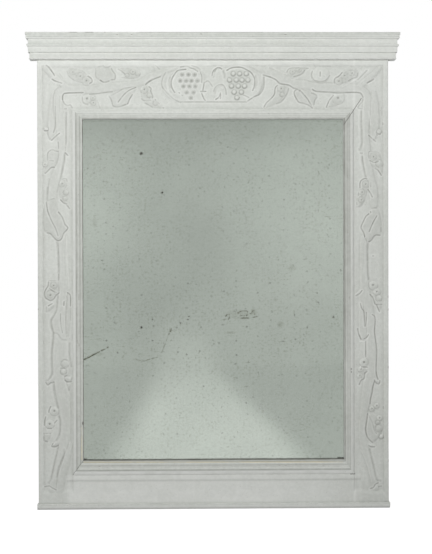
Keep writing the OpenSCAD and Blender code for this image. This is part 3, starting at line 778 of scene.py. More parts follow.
SCRATCHES = (
    Scratch((83.8, 359.0), (96.0, 352.5), 3.4, 0.95),
    Scratch((96.0, 352.5), (107.5, 346.7), 2.6, 0.8),
    Scratch((135.5, 359.0), (141.7, 360.7), 1.8, 0.5),
    Scratch((141.7, 360.7), (161.0, 355.4), 2.2, 0.6),
    Scratch((161.0, 352.0), (168.0, 334.0), 1.6, 0.5),
    Scratch((168.0, 334.0), (170.6, 328.2), 2.2, 0.9),
    Scratch((222.6, 319.3), (225.0, 318.8), 3.0, 0.95),
    Scratch((225.0, 315.4), (226.2, 314.6), 3.0, 0.95),
    Scratch((227.5, 313.0), (229.3, 315.5), 2.2, 0.6),
    Scratch((229.3, 315.5), (227.5, 319.0), 2.2, 0.6),
    Scratch((237.4, 312.4), (240.0, 310.6), 3.0, 0.9),
    Scratch((240.0, 310.4), (246.8, 310.4), 2.0, 0.6),
    Scratch((246.6, 310.4), (246.4, 314.8), 2.2, 0.7),
    Scratch((239.6, 315.0), (245.8, 315.2), 2.2, 0.7),
    Scratch((240.4, 317.6), (247.6, 317.4), 2.6, 0.95),
    Scratch((249.6, 313.0), (253.2, 309.6), 2.8, 0.8),
    Scratch((253.2, 309.6), (254.0, 313.6), 2.8, 0.9),
    Scratch((252.0, 316.8), (257.0, 316.0), 2.2, 0.7),
)


@dataclass(frozen=True)
class OldSilvering:
    """The silvered back of an old plate: haze, pin holes, spots, scratches, worn patches, and painted shadow
    along its edges.
    """

    name: str
    colour: Triple = (0.815, 0.840, 0.806)
    brown: Triple = (0.300, 0.305, 0.205)
    black: Triple = (0.105, 0.105, 0.080)
    spots: tuple[Blemish, ...] = SPOTS
    worn: tuple[Blemish, ...] = WORN
    scratches: tuple[Scratch, ...] = SCRATCHES
    belt_at: Pair = (0.03, 0.545)  # the level where marks lie thickest, in metres, and its half sizes
    belt_half: Pair = (0.60, 0.19)
    # Painted shadow along the plate's edges under the sight moulding: start, end, half width and strength.
    edge_shadows: tuple[tuple[Pair, Pair, float, float], ...] = (
        ((-394.0, 149.0), (394.0, 149.0), 4.8, 0.82),
        ((-392.0, 149.0), (-386.0, 149.0), 8.0, 1.0),
        ((376.0, 150.0), (392.0, 150.0), 7.0, 1.0),
        ((-394.0, 1172.0), (394.0, 1172.0), 8.0, 0.12),
    )

    def oval(self, s: Shader, mark: Blemish, stray: Socket) -> Socket:
        """An uneven oval spot of the mark's strength."""
        x, z = on_face(*mark.place)
        spot = s.near_spot((x * MM, z * MM), (mark.half[0] * MM, mark.half[1] * MM), stray)
        return s.times(spot, mark.strength)

    def material(self) -> Material:
        """Builds the silvering.

        Returns:
            the material, which reads object space.
        """
        s = Shader(self.name)
        stray, ragged = s.wander(260.0, 0.0030), s.wander(420.0, 0.0060)
        haze = s.noise(7.0, 4.0)
        spots = s.most([self.oval(s, mark, stray) for mark in self.spots])
        lines = s.most([
            s.times(s.near_line(on_face(*m.start), on_face(*m.end), m.width, stray), m.strength)
            for m in self.scratches
        ])
        edge_shadows = [
            s.times(s.near_line(start, end, width, stray), strength)
            for start, end, width, strength in self.edge_shadows
        ]
        scratches = s.times(lines, s.step(s.noise(210.0, 3.0), 0.35, 0.55))
        flakes = s.step(s.noise(300.0, 3.0, (1.0, 1.0, 1.3)), 0.48, 0.60, 0.30, 1.0)
        worn = s.times(s.most([self.oval(s, mark, stray) for mark in self.worn]), flakes)
        belt = s.near_spot(self.belt_at, self.belt_half, stray, 0.45)
        patches = s.step(s.noise(14.0, 2.0), 0.40, 0.60, 0.50, 1.0)
        patches = s.times(patches, s.step(belt, 0.0, 1.0, 0.77, 1.0))
        fine = s.times(s.specks(105.0, 0.25, 0.42, 0.3, ragged), patches)
        bold = s.specks(40.0, 0.100, 0.40, 0.7, ragged)
        bolder = s.times(s.specks(28.0, 0.095, 0.40, 0.5, ragged), s.step(belt, 0.0, 1.0, 0.45, 1.0))
        smudges = s.times(s.step(s.noise(150.0, 3.0, (0.7, 1.0, 1.2)), 0.55, 0.66), patches)
        dark = s.most([spots, s.times(scratches, 0.4), s.times(bold, 0.36), s.times(bolder, 0.70), *edge_shadows])
        brown = s.most([s.times(worn, 0.95), scratches, s.times(fine, 0.44), s.times(smudges, 0.25)])
        tone = s.mix(s.step(haze, 0.3, 0.7), self.colour, tuple(c * 0.95 for c in self.colour))
        tone = s.mix(dark, s.mix(brown, tone, self.brown), self.black)
        lost = s.step(s.math("MAXIMUM", dark, brown), 0.35, 1.0)
        dull = s.math("ADD", s.step(haze, 0.3, 0.8, 0.035, 0.075), s.times(lost, 0.4))
        s.link(tone, s.surface.inputs["Base Color"])
        s.link(s.math("SUBTRACT", 1.0, s.times(lost, 0.8)), s.surface.inputs["Metallic"])
        s.link(dull, s.surface.inputs["Roughness"])
        s.bump(s.noise(9.0, 1.0), 0.0004, 0.25)
        return s.material


@dataclass(frozen=True)
class OldGlass:
    """Clear glass with a faint green tint and a slightly wavy surface."""

    name: str
    tints: tuple[Triple, Triple] = ((0.955, 0.985, 0.960), (0.965, 0.985, 0.965))
    ior: float = 1.5

    def material(self) -> Material:
        """Builds the glass.

        Returns:
            the material, which reads object space.
        """
        s = Shader(self.name)
        tint = s.mix(s.noise(4.0, 2.0), *self.tints)
        s.link(tint, s.surface.inputs["Base Color"])
        s.surface.inputs["Transmission Weight"].default_value = 1.0
        s.surface.inputs["IOR"].default_value = self.ior
        s.link(s.step(s.noise(40.0, 3.0), 0.3, 0.8, 0.0, 0.02), s.surface.inputs["Roughness"])
        s.bump(s.noise(6.0, 0.0), 0.0005, 0.1)
        return s.material


@dataclass
class Finishes:
    """All finishes, each built once."""

    paint_x: Material = field(init=False)
    paint_z: Material = field(init=False)
    pine_x: Material = field(init=False)
    pine_z: Material = field(init=False)
    oak: Material = field(init=False)
    iron: Material = field(init=False)
    silver: Material = field(init=False)
    glass: Material = field(init=False)

    def __post_init__(self) -> None:
        """Builds every material."""
        light_oak, dark_oak = (0.330, 0.225, 0.130), (0.140, 0.085, 0.045)
        self.paint_x = AgedPaint("painted_oak_across", Grain.ALONG_X).material()
        self.paint_z = AgedPaint("painted_oak_upright", Grain.ALONG_Z).material()
        self.pine_x = BareWood("bare_pine_across", Grain.ALONG_X).material()
        self.pine_z = BareWood("bare_pine_upright", Grain.ALONG_Z).material()
        self.oak = BareWood("bare_oak_pegs", Grain.ALONG_Z, light_oak, dark_oak).material()
        self.iron = RustyIron("wrought_iron_rusty").material()
        self.silver = OldSilvering("old_silvering_worn").material()
        self.glass = OldGlass("old_glass_clear").material()


def make_piece(
    name: str,
    shape: Shape,
    materials: list[Material],
    body: str = "frame",
    nodes: tuple[str, ...] = (),
    cuts: list[Shape] | None = None,
    crease: float = 40.0,
) -> bpy.types.Object:
    """Turns a shape into a finished piece of the scene.

    Args:
        name: the piece's name.
        shape: its closed form.
        materials: its finishes; where there are two, the second goes on every face that looks to the back and
            on the walls of what is cut in from the back.
        body: the body that it rides on.
        nodes: the CAD nodes that it stands for.
        cuts: closed forms that are cut out of it.
        crease: edges sharper than this angle in degrees stay sharp.

    Returns:
        the new object.
    """
    piece = bpy.data.objects.new(name, shape.mesh(name))
    bpy.context.scene.collection.objects.link(piece)
    if cuts:
        cutter = bpy.data.objects.new(name + "_cut", joined(cuts).mesh(name + "_cut"))
        bpy.context.scene.collection.objects.link(cutter)
        tool = piece.modifiers.new("cut", "BOOLEAN")
        tool.object, tool.operation, tool.solver = cutter, "DIFFERENCE", "MANIFOLD"
        graph = bpy.context.evaluated_depsgraph_get()
        whole = piece.evaluated_get(graph)
        carved = bpy.data.meshes.new_from_object(whole, preserve_all_data_layers=True, depsgraph=graph)
        piece.modifiers.clear()
        rough, piece.data = piece.data, carved
        bpy.data.meshes.remove(rough)
        bpy.data.objects.remove(cutter)
        carved.name = name
    mesh = piece.data
    mesh.materials.clear()
    for material in materials:
        mesh.materials.append(material)
    if len(materials) > 1:
        normals, centres = (np.zeros(len(mesh.polygons) * 3, np.float32) for _ in range(2))
        mesh.polygons.foreach_get("normal", normals)
        mesh.polygons.foreach_get("center", centres)
        centres = centres.reshape(-1, 3) / MM
        low, high = shape.vertices.min(axis=0) + EDGE, shape.vertices.max(axis=0) - EDGE
        in_cut = ((centres > low) & (centres < high))[:, [0, 2]].all(axis=1) & (centres[:, 1] > DEEPEST_CUT)
        unpainted = (normals.reshape(-1, 3)[:, 1] > 0.5) | in_cut
        mesh.polygons.foreach_set("material_index", unpainted.astype(np.int32))
    mesh.shade_smooth()
    mesh.set_sharp_from_angle(angle=math.radians(crease))
    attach(piece, body)
    if nodes:
        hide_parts(*nodes)
    LOG.info("%s: %d faces on %s", name, len(mesh.polygons), body)
    return piece


@dataclass(frozen=True)
class Stem:
    """A stem on the squared sheet: rows of across, down and width, all in sheet units."""

    points: Array
    relief: float = 2.5


@dataclass(frozen=True)
class Patch:
    """A leaf, pod or bud: its outline on the squared sheet, as rows of across and down taken round it."""

    outline: Array
    relief: float = 2.4


@dataclass(frozen=True)
class Fruit:
    """A round fruit on the squared sheet."""

    place: Pair
    radius: float
    kind: FruitKind
    relief: float = 3.1


@dataclass(frozen=True)
class Line:
    """A narrow line on the squared sheet: cut in and given painted shade where its depth is positive, raised
    and given a painted highlight where it is negative.
    """

    points: Array
    depth: float
    width: float = 1.75


Feature = Stem | Patch | Fruit | Line


def rows_of(size: int, numbers: tuple[float, ...]) -> Array:
    """The numbers as rows of this size."""
    return np.array(numbers, float).reshape(-1, size)


def stem(*points: float) -> Stem:
    """A stem: across, down and width at each point in turn."""
    return Stem(rows_of(3, points))


def patch(*outline: float, relief: float = 2.4) -> Patch:
    """A leaf, pod or bud: across and down of each point of its outline in turn."""
    return Patch(rows_of(2, outline), relief)


def cut(*points: float) -> Line:
    """A deep cut of the knife, dark with painted shade."""
    return Line(rows_of(2, points), 1.0)


def edge_cut(*points: float) -> Line:
    """A cut of middling depth along an edge."""
    return Line(rows_of(2, points), 0.62)


def shade(*points: float) -> Line:
    """A broad soft hollow beside a trunk, darkened with painted shade."""
    return Line(rows_of(2, points), 0.50, 2.9)


def scribe(*points: float) -> Line:
    """A fine shallow line."""
    return Line(rows_of(2, points), 0.28)


def ridge(*points: float) -> Line:
    """A fine raised line with a painted highlight."""
    return Line(rows_of(2, points), -0.7)


def grape(across: float, down: float, radius: float, relief: float = 3.1) -> Fruit:
    """A plain dome."""
    return Fruit((across, down), radius, FruitKind.GRAPE, relief)


def berry(across: float, down: float, radius: float) -> Fruit:
    """A ring round a drilled hole."""
    return Fruit((across, down), radius, FruitKind.DRILLED)


def grapes(kind: FruitKind, rows: dict[float, tuple[float, ...]]) -> tuple[Fruit, ...]:
    """A bunch of grapes of one size: how far down each row lies, and how far across its grapes lie."""
    radius, relief = 2.75, 3.3
    places = [(across, down) for down, row in rows.items() for across in row]
    return tuple(Fruit(place, radius, kind, relief) for place in places)


LEFT_STILE_VINE = (
    stem(52.4, 92, 3, 51, 104, 4.5, 50.6, 116, 6.5, 50.3, 126, 7.4, 50.8, 133, 6, 51.3, 138.5, 2.5),
    stem(67.6, 106, 4, 67.8, 118, 4.5, 67.6, 132, 4.5, 67.2, 144, 4, 66, 153, 3),
    stem(70, 444, 5, 67, 456, 7, 63.5, 468, 8, 60.5, 480, 8, 59, 490, 9),
    stem(58.2, 112, 10, 60, 122, 10, 60.5, 134, 9.5, 61.3, 144, 7.5, 61.2, 153, 6.8, 59.5, 162, 8,
        57, 171, 9.5, 54.5, 180, 10.5, 52, 192, 9.8, 51, 204, 9),
    stem(61.5, 238, 8, 61.8, 248, 8.4, 62.2, 258, 8.4, 63, 270, 9.4, 63, 283, 10.5, 63, 294, 11.5,
        62.5, 304, 12, 60.5, 314, 12.5, 58.4, 322, 14.5, 59.6, 332, 14, 60.6, 344, 16.5, 60.2, 356, 17.5,
        60.8, 366, 18, 60.8, 376, 17, 61.4, 386, 15, 62.8, 398, 13.5, 64, 410, 12.5, 65, 424, 11,
        64.3, 436, 11.5, 62.5, 446, 9.5, 60, 454, 7.6, 57.6, 462, 7, 55.2, 471, 6.6, 53.4, 480, 6.8,
        51.6, 489, 9),
    stem(57, 374, 8, 51.5, 379.5, 5, 46.5, 382.4, 3),
    stem(61, 437, 7, 56.5, 442.5, 5, 52.4, 445, 3),
    patch(47, 160.5, 46.8, 156.3, 47.4, 152.4, 50.1, 149.5, 52.8, 149.1, 57.8, 150.9, 58.6, 156, 57, 162,
        54.5, 166.8, 50.9, 167.2, 47.8, 170.3, 44.7, 173, 43.2, 170.5, 47.5, 163.6),
    patch(60.5, 180, 61.7, 178.4, 65.5, 178, 67.6, 185, 66.3, 190, 67, 196, 69.5, 203, 69.6, 208.4,
        62.6, 201.7, 59.9, 199.3, 58.6, 192, 59, 186),
    patch(46.2, 200.5, 43, 208, 41.8, 218, 42.6, 228, 46.8, 232.3, 50.3, 233.4, 53, 236.5, 58, 240.3,
        60.3, 239.4, 63, 233.4, 66.6, 229.2, 67.4, 226.9, 64.5, 223.6, 63.2, 219.4, 61.2, 215, 58.2, 211.2,
        56.6, 204, 54, 198),
    patch(48, 280.5, 47.4, 285.3, 45.5, 288.4, 43.9, 292.3, 44.7, 297.2, 50.3, 300.4, 55.6, 295.5,
        58.6, 292.3, 58.5, 285, 56, 280),
    patch(51.8, 302.6, 44.8, 306.5, 45, 311.5, 48, 311.5, 52, 308, 55, 304),
    patch(66.6, 291.5, 69.9, 294.8, 70.3, 305.3, 70, 320, 68.6, 334, 66, 337, 65, 322, 65.4, 306),
    patch(64, 376.5, 69.8, 379, 70.8, 384, 68.8, 392, 66.6, 386),
    patch(43.3, 433, 50.3, 433, 49.4, 438, 47.2, 441.6, 44, 440.3),
    grape(45.8, 128.3, 2.6), berry(44.6, 164, 2.6), berry(61.7, 183.2, 3.8),
    grape(65.2, 192, 2.8), grape(64.6, 198, 2.6), berry(53.3, 285, 3.8),
    berry(49.9, 294.6, 5.2), grape(64.5, 363, 4.3), grape(63, 371, 3.5),
    grape(67.4, 378, 3.8), berry(54, 410.5, 4.9), berry(49.3, 423.5, 4.8),
    cut(44, 130.1, 47.4, 130.1),
    edge_cut(47, 131, 47.4, 134, 49.3, 138.6, 51.3, 139.7),
    cut(51.3, 139.7, 54.7, 136.3, 59, 132.8),
    edge_cut(54.8, 106, 54.8, 125, 53, 132),
    ridge(56.3, 109, 56.3, 129),
    scribe(50.7, 108, 50.5, 128),
    edge_cut(65.5, 112, 65.5, 144),
    ridge(67.4, 111, 67.4, 141),
    cut(65, 152.4, 67.4, 155),
    edge_cut(57.8, 141.6, 58.2, 147.8),
    shade(64.3, 152.4, 64, 156.3, 63.6, 160.9, 62.4, 166.3, 60.9, 174, 60, 177.8),
    ridge(66, 158, 64.6, 166, 62.8, 174),
    edge_cut(47, 159.3, 47, 156.3, 47.4, 152.4, 50.1, 149.7, 52.8, 149.3, 54.7, 150.5, 57.8, 150.9),
    scribe(50, 154.3, 52.4, 154.3),
    edge_cut(49.3, 160.1, 53, 160.4),
    cut(54, 167, 50.9, 167, 47.8, 170.1, 44.7, 172.8),
    scribe(49, 178, 47.6, 188),
    shade(47.4, 187, 46.9, 197, 46.4, 206),
    scribe(60, 178, 58, 186, 56.7, 192),
    edge_cut(61.7, 178.6, 65.5, 178.2, 66.7, 180.9),
    edge_cut(66.3, 184.7, 64, 188.6),
    cut(60.1, 199.3, 63.2, 202.4, 66.3, 203.2),
    edge_cut(65.7, 203.8, 69.1, 208),
    cut(46, 201.5, 47.2, 210, 50.3, 218.4, 53, 223.8, 55.3, 228.4, 57.6, 235.3),
    cut(58, 211.5, 61, 215.3, 63, 219.6, 64.5, 223.8, 67.2, 226.9, 66.4, 229.2, 63, 233, 61.8, 236.9,
        60.3, 239.2, 58, 240, 55.7, 239.2, 53, 236.5, 50.3, 233.4, 46.8, 232.3),
    shade(56.4, 241.5, 57.6, 246.9, 58, 255.3, 58.3, 270.7, 58.1, 279.2),
    cut(58.2, 273.5, 58.1, 279.4),
    ridge(66, 236, 66.4, 255, 67.6, 270.7, 68.7, 287.7),
    scribe(63.7, 250, 64.5, 262, 65.3, 275),
    scribe(48, 280, 55.7, 280),
    cut(48, 281.5, 47.6, 285.3, 45.7, 288.4, 44.1, 292.3, 44.9, 296.9, 48, 299.2, 50.3, 300, 53.3, 298.4,
        55.3, 295.3, 58.7, 292.3),
    edge_cut(48.7, 287.7, 51.8, 290, 56.4, 292.3),
    cut(48, 305.3, 51.8, 303),
    edge_cut(46, 306.5, 46, 311),
    shade(57.6, 295.3, 56.8, 301.5, 56.3, 309.5, 54, 314, 51.7, 317.6, 50.5, 321, 50.9, 324.9, 52, 329.5,
        53.2, 332.6),
    shade(53.2, 332.6, 57, 333.3, 59.3, 336.4, 61.7, 339.1, 66.3, 339.5),
    edge_cut(60.1, 313.3, 60.1, 319.5, 60.5, 324.9, 62, 332.2),
    cut(67.2, 292.3, 69.9, 295.3, 69.9, 305.3),
    cut(63.5, 301, 63.5, 304.8),
    scribe(69.9, 305, 70.2, 320),
    shade(53, 332.6, 52.6, 339.5, 51.8, 347.2, 51.3, 354.9, 51.3, 364.1, 51.7, 371, 50.9, 374.9,
        48.2, 379.5, 45.5, 380.3),
    cut(45.5, 381.8, 47.4, 384.5, 50.1, 382.6, 53.6, 381.8),
    shade(53.3, 382.6, 53.6, 389.5, 54.7, 395.7, 56.3, 401.8, 57.6, 407.2),
    shade(69.3, 342.6, 69.3, 354.9, 70.9, 365.7),
    edge_cut(60, 367.6, 66.3, 367.6),
    edge_cut(64.3, 375.6, 69.3, 375.6),
    cut(64.7, 379.5, 67, 381.6, 70.9, 381),
    edge_cut(68.6, 386, 68.6, 390),
    scribe(70.4, 385, 70.6, 420, 70.4, 446),
    cut(50.3, 406, 48.7, 409.5, 48.3, 411.8),
    cut(45.3, 416.4, 44.5, 420, 44.1, 424.9),
    cut(47.2, 428, 51, 428),
    cut(54.1, 422.6, 56.4, 419.9),
    scribe(52, 417, 54, 417.5),
    edge_cut(43.3, 433, 50.3, 433),
    edge_cut(43.3, 436.4, 44.1, 440.3, 47.2, 441.4),
    shade(58.7, 416, 59.9, 419.5, 59.9, 426.4, 59.5, 431.8, 58.3, 436.4, 56.4, 439.9),
    cut(52.6, 443.3, 51.4, 446, 54.9, 446.4, 58, 444.9),
    shade(57.8, 446.4, 56.4, 453.3, 54.5, 461, 52.6, 471, 50.7, 478.7, 48.3, 482.2),
    shade(63.7, 449.5, 63.3, 454.9, 61, 460.3, 58, 468, 56.4, 476.4),
    ridge(65.4, 450, 64.8, 456, 62.4, 462, 59.4, 469.5, 57.8, 477),
    cut(44.5, 486.4, 48.7, 485.7, 51.8, 487.6, 55.7, 489.5),
)
RIGHT_STILE_VINE = (
    stem(374, 92, 5, 374, 104, 9, 374.3, 118, 10.5, 374, 130, 9.5, 373, 137, 6),
    stem(366, 112, 10, 365, 124, 8.5, 365.2, 136, 8, 366, 146, 9, 366.8, 156, 9.5, 368, 168, 9,
        370.6, 180, 9, 373, 190, 9.5, 374, 204, 8),
    stem(363.3, 238, 7.5, 363.2, 250, 8, 363.3, 262, 8.2, 363.6, 276, 9, 364.6, 288, 10.5, 366, 300, 11,
        369, 310, 9, 370.2, 320, 9, 370.3, 330, 9, 370.6, 345, 10.5, 370.8, 360, 11, 370.5, 374, 12,
        367.5, 385, 11, 366, 395, 10, 365, 404, 9, 363.2, 414, 8, 362, 424, 7.5, 362, 434, 8,
        363.2, 443, 8.5, 364.8, 450, 8.5, 367.4, 457, 7.4, 370.4, 467, 6.6, 372.6, 476, 6.6, 375, 487, 8),
    stem(360.5, 293, 5, 360.4, 304, 5.5, 361.3, 316, 6.2, 362, 326, 8, 362.5, 334, 8.5, 362.6, 337, 5),
    stem(364, 288, 7, 360, 291, 4.5, 356, 294, 3),
    stem(370, 374, 8, 375.5, 379.5, 5, 379, 381.5, 3),
    stem(364, 441, 7, 369, 444.5, 4.5, 373.5, 445.3, 3),
    patch(368.7, 150.7, 378.3, 151.8, 380.8, 158, 383, 163.5, 382.5, 168, 381.3, 174.9, 378, 170.5,
        374.9, 168, 371.5, 165.5, 369, 160, 367.6, 155),
    patch(359.3, 190, 359.5, 183.2, 360.7, 179.9, 363.7, 178, 366.6, 178, 368.3, 182, 368.2, 187,
        366.5, 193, 364.4, 200, 360.5, 206, 356.2, 206.5, 355.8, 201.5, 357.6, 195),
    patch(371.5, 207.5, 376.9, 207.5, 379.5, 213, 381.2, 222, 380.9, 231, 379.6, 234.8, 375.3, 234.8,
        373, 237, 368.2, 241.4, 365.2, 239.5, 363.2, 232.5, 360.5, 226.1, 363.2, 220, 365.1, 216,
        368.2, 213.3, 369.6, 210),
    patch(369.4, 294, 372.1, 297.1, 373.6, 300.9, 375.3, 304, 379.3, 311.5, 381, 307, 381.7, 303.6,
        380, 299, 376, 293),
    patch(367.2, 370, 364.1, 373.3, 363.7, 378, 358.7, 385, 357.4, 380, 358, 372, 362, 367),
    patch(367.3, 413, 366.3, 419.5, 365.1, 428, 365.9, 434.1, 368.2, 438.9, 372.3, 442.4, 376, 440,
        379.5, 436, 382, 430, 381, 424, 377, 418, 372, 413.5),
    grape(378.8, 131, 2.6), berry(373.3, 156.3, 4), grape(379, 163, 4),
    berry(365.3, 183.6, 3.8), berry(361.8, 191.7, 3.4), berry(361, 199.3, 3.2),
    berry(372.7, 284.6, 4.8), berry(376.5, 291.1, 4), grape(378.4, 297.7, 3.4),
    berry(363.7, 361.7, 5), berry(360.7, 368.7, 3.5), berry(359.5, 375.3, 3.2),
    berry(371.5, 408.3, 3), berry(376.5, 405.3, 3), berry(379.2, 417.5, 3.2),
    grape(377.3, 422, 2.6), grape(378.4, 428, 4), grape(381, 436, 2.6),
    shade(361, 110.9, 361, 120.1, 361.7, 132.4, 361.8, 140.1, 361, 144.7, 359.1, 149.3),
    ridge(358.7, 112, 358.9, 140),
    edge_cut(360, 152.6, 361.8, 152.6),
    shade(361.8, 156.3, 362.2, 160.9, 363.3, 166.3, 364.5, 172.4, 365.7, 176.3),
    ridge(368.7, 110.9, 370.3, 124.7),
    scribe(381, 107, 381.4, 114.7),
    edge_cut(382.6, 122.5, 382.6, 124),
    cut(378.5, 133.6, 380, 133.8),
    cut(368.3, 134.7, 371, 137.4, 375.3, 140.9),
    edge_cut(375.7, 131.6, 376.8, 134.7),
    scribe(368.7, 150.9, 378.3, 152),
    cut(369.9, 160.1, 374.1, 162, 378, 160.9),
    cut(374.9, 167.8, 378, 170.1, 381, 174.7),
    cut(359.5, 187, 359.5, 183.2, 360.7, 180.1, 363.7, 178.2, 366.4, 178.2),
    edge_cut(358, 192.5, 358, 195),
    edge_cut(356.4, 202.2, 356.6, 204),
    cut(367.6, 189, 369.9, 192.4, 371.8, 196.3),
    edge_cut(370.4, 182, 370.4, 186),
    scribe(371.5, 207.7, 376.9, 207.7),
    cut(370.3, 211, 370.3, 212),
    cut(368.4, 213.4, 365.3, 216.1, 363.4, 220, 360.7, 226.1, 361.5, 229.2, 363.4, 232.3, 364.2, 236.1),
    cut(376.5, 215.3, 373.8, 220, 371.5, 224.6, 368.8, 231.1),
    edge_cut(380.7, 226.9, 380.7, 230.7),
    cut(379.6, 234.6, 375.3, 234.6, 373, 236.9, 370.7, 240, 368.4, 241.1),
    shade(367.7, 243, 366.9, 250.7, 367, 260, 367.3, 270.7, 368, 278.4),
    cut(372.2, 255.3, 373.2, 255.3),
    scribe(371, 290, 375, 290),
    cut(369.6, 293.8, 372.3, 296.9, 373.8, 300.7, 375.3, 303.8, 381.5, 303.8),
    cut(376.1, 303.8, 379.1, 311),
    cut(355.7, 295, 359.2, 293, 361.5, 290),
    cut(360, 303, 361.4, 308, 363.7, 311.8, 364.1, 325.7),
    cut(366, 311.8, 365.8, 319.5, 364.9, 325.7),
    cut(357.2, 328, 358, 332.6, 359.9, 337.2, 360.7, 338.7),
    cut(363.7, 338, 366, 337.2, 368, 334.1),
    ridge(359.5, 341, 364, 341, 368, 338),
    cut(371.8, 314, 374.1, 315.7, 374.9, 319.5, 374.1, 330.3, 374.5, 334.9, 375.7, 342.6, 376.4, 351.8,
        375.7, 368.7, 376.4, 374.9, 377.6, 378.7),
    cut(365.3, 341, 365.3, 356),
    cut(361, 366.6, 367.2, 366.6),
    cut(366.8, 371, 364.1, 373.3, 363.7, 378, 361, 379.5, 358.7, 384.1),
    cut(374.1, 379.5, 376, 382.6, 378.7, 383.3, 379.5, 380.3),
    cut(374.1, 381, 372.6, 385.7, 371.8, 391.8, 370.3, 398, 369.7, 403.3),
    edge_cut(383, 406, 383, 408),
    cut(367.3, 413.3, 366.5, 419.5, 365.3, 428, 366.1, 434.1, 368.4, 438.7, 372.3, 442.2),
    edge_cut(367.3, 413.3, 370, 418, 372.7, 424.1, 373.8, 429.5, 376.1, 433),
    cut(368.4, 444.9, 370.7, 446.4, 374.2, 446.4),
    shade(369.2, 448.7, 370.4, 454.9, 372.3, 462.6, 373.8, 470.3, 375.3, 476.4, 376.9, 479.5, 380, 480.3),
    ridge(360, 449.5, 363.8, 456.4, 367.7, 467.2, 370, 476.4),
    cut(370, 488.3, 373, 487.2, 375, 484.1, 377.7, 482.6),
    edge_cut(378.2, 486.4, 381.2, 485.7),
)
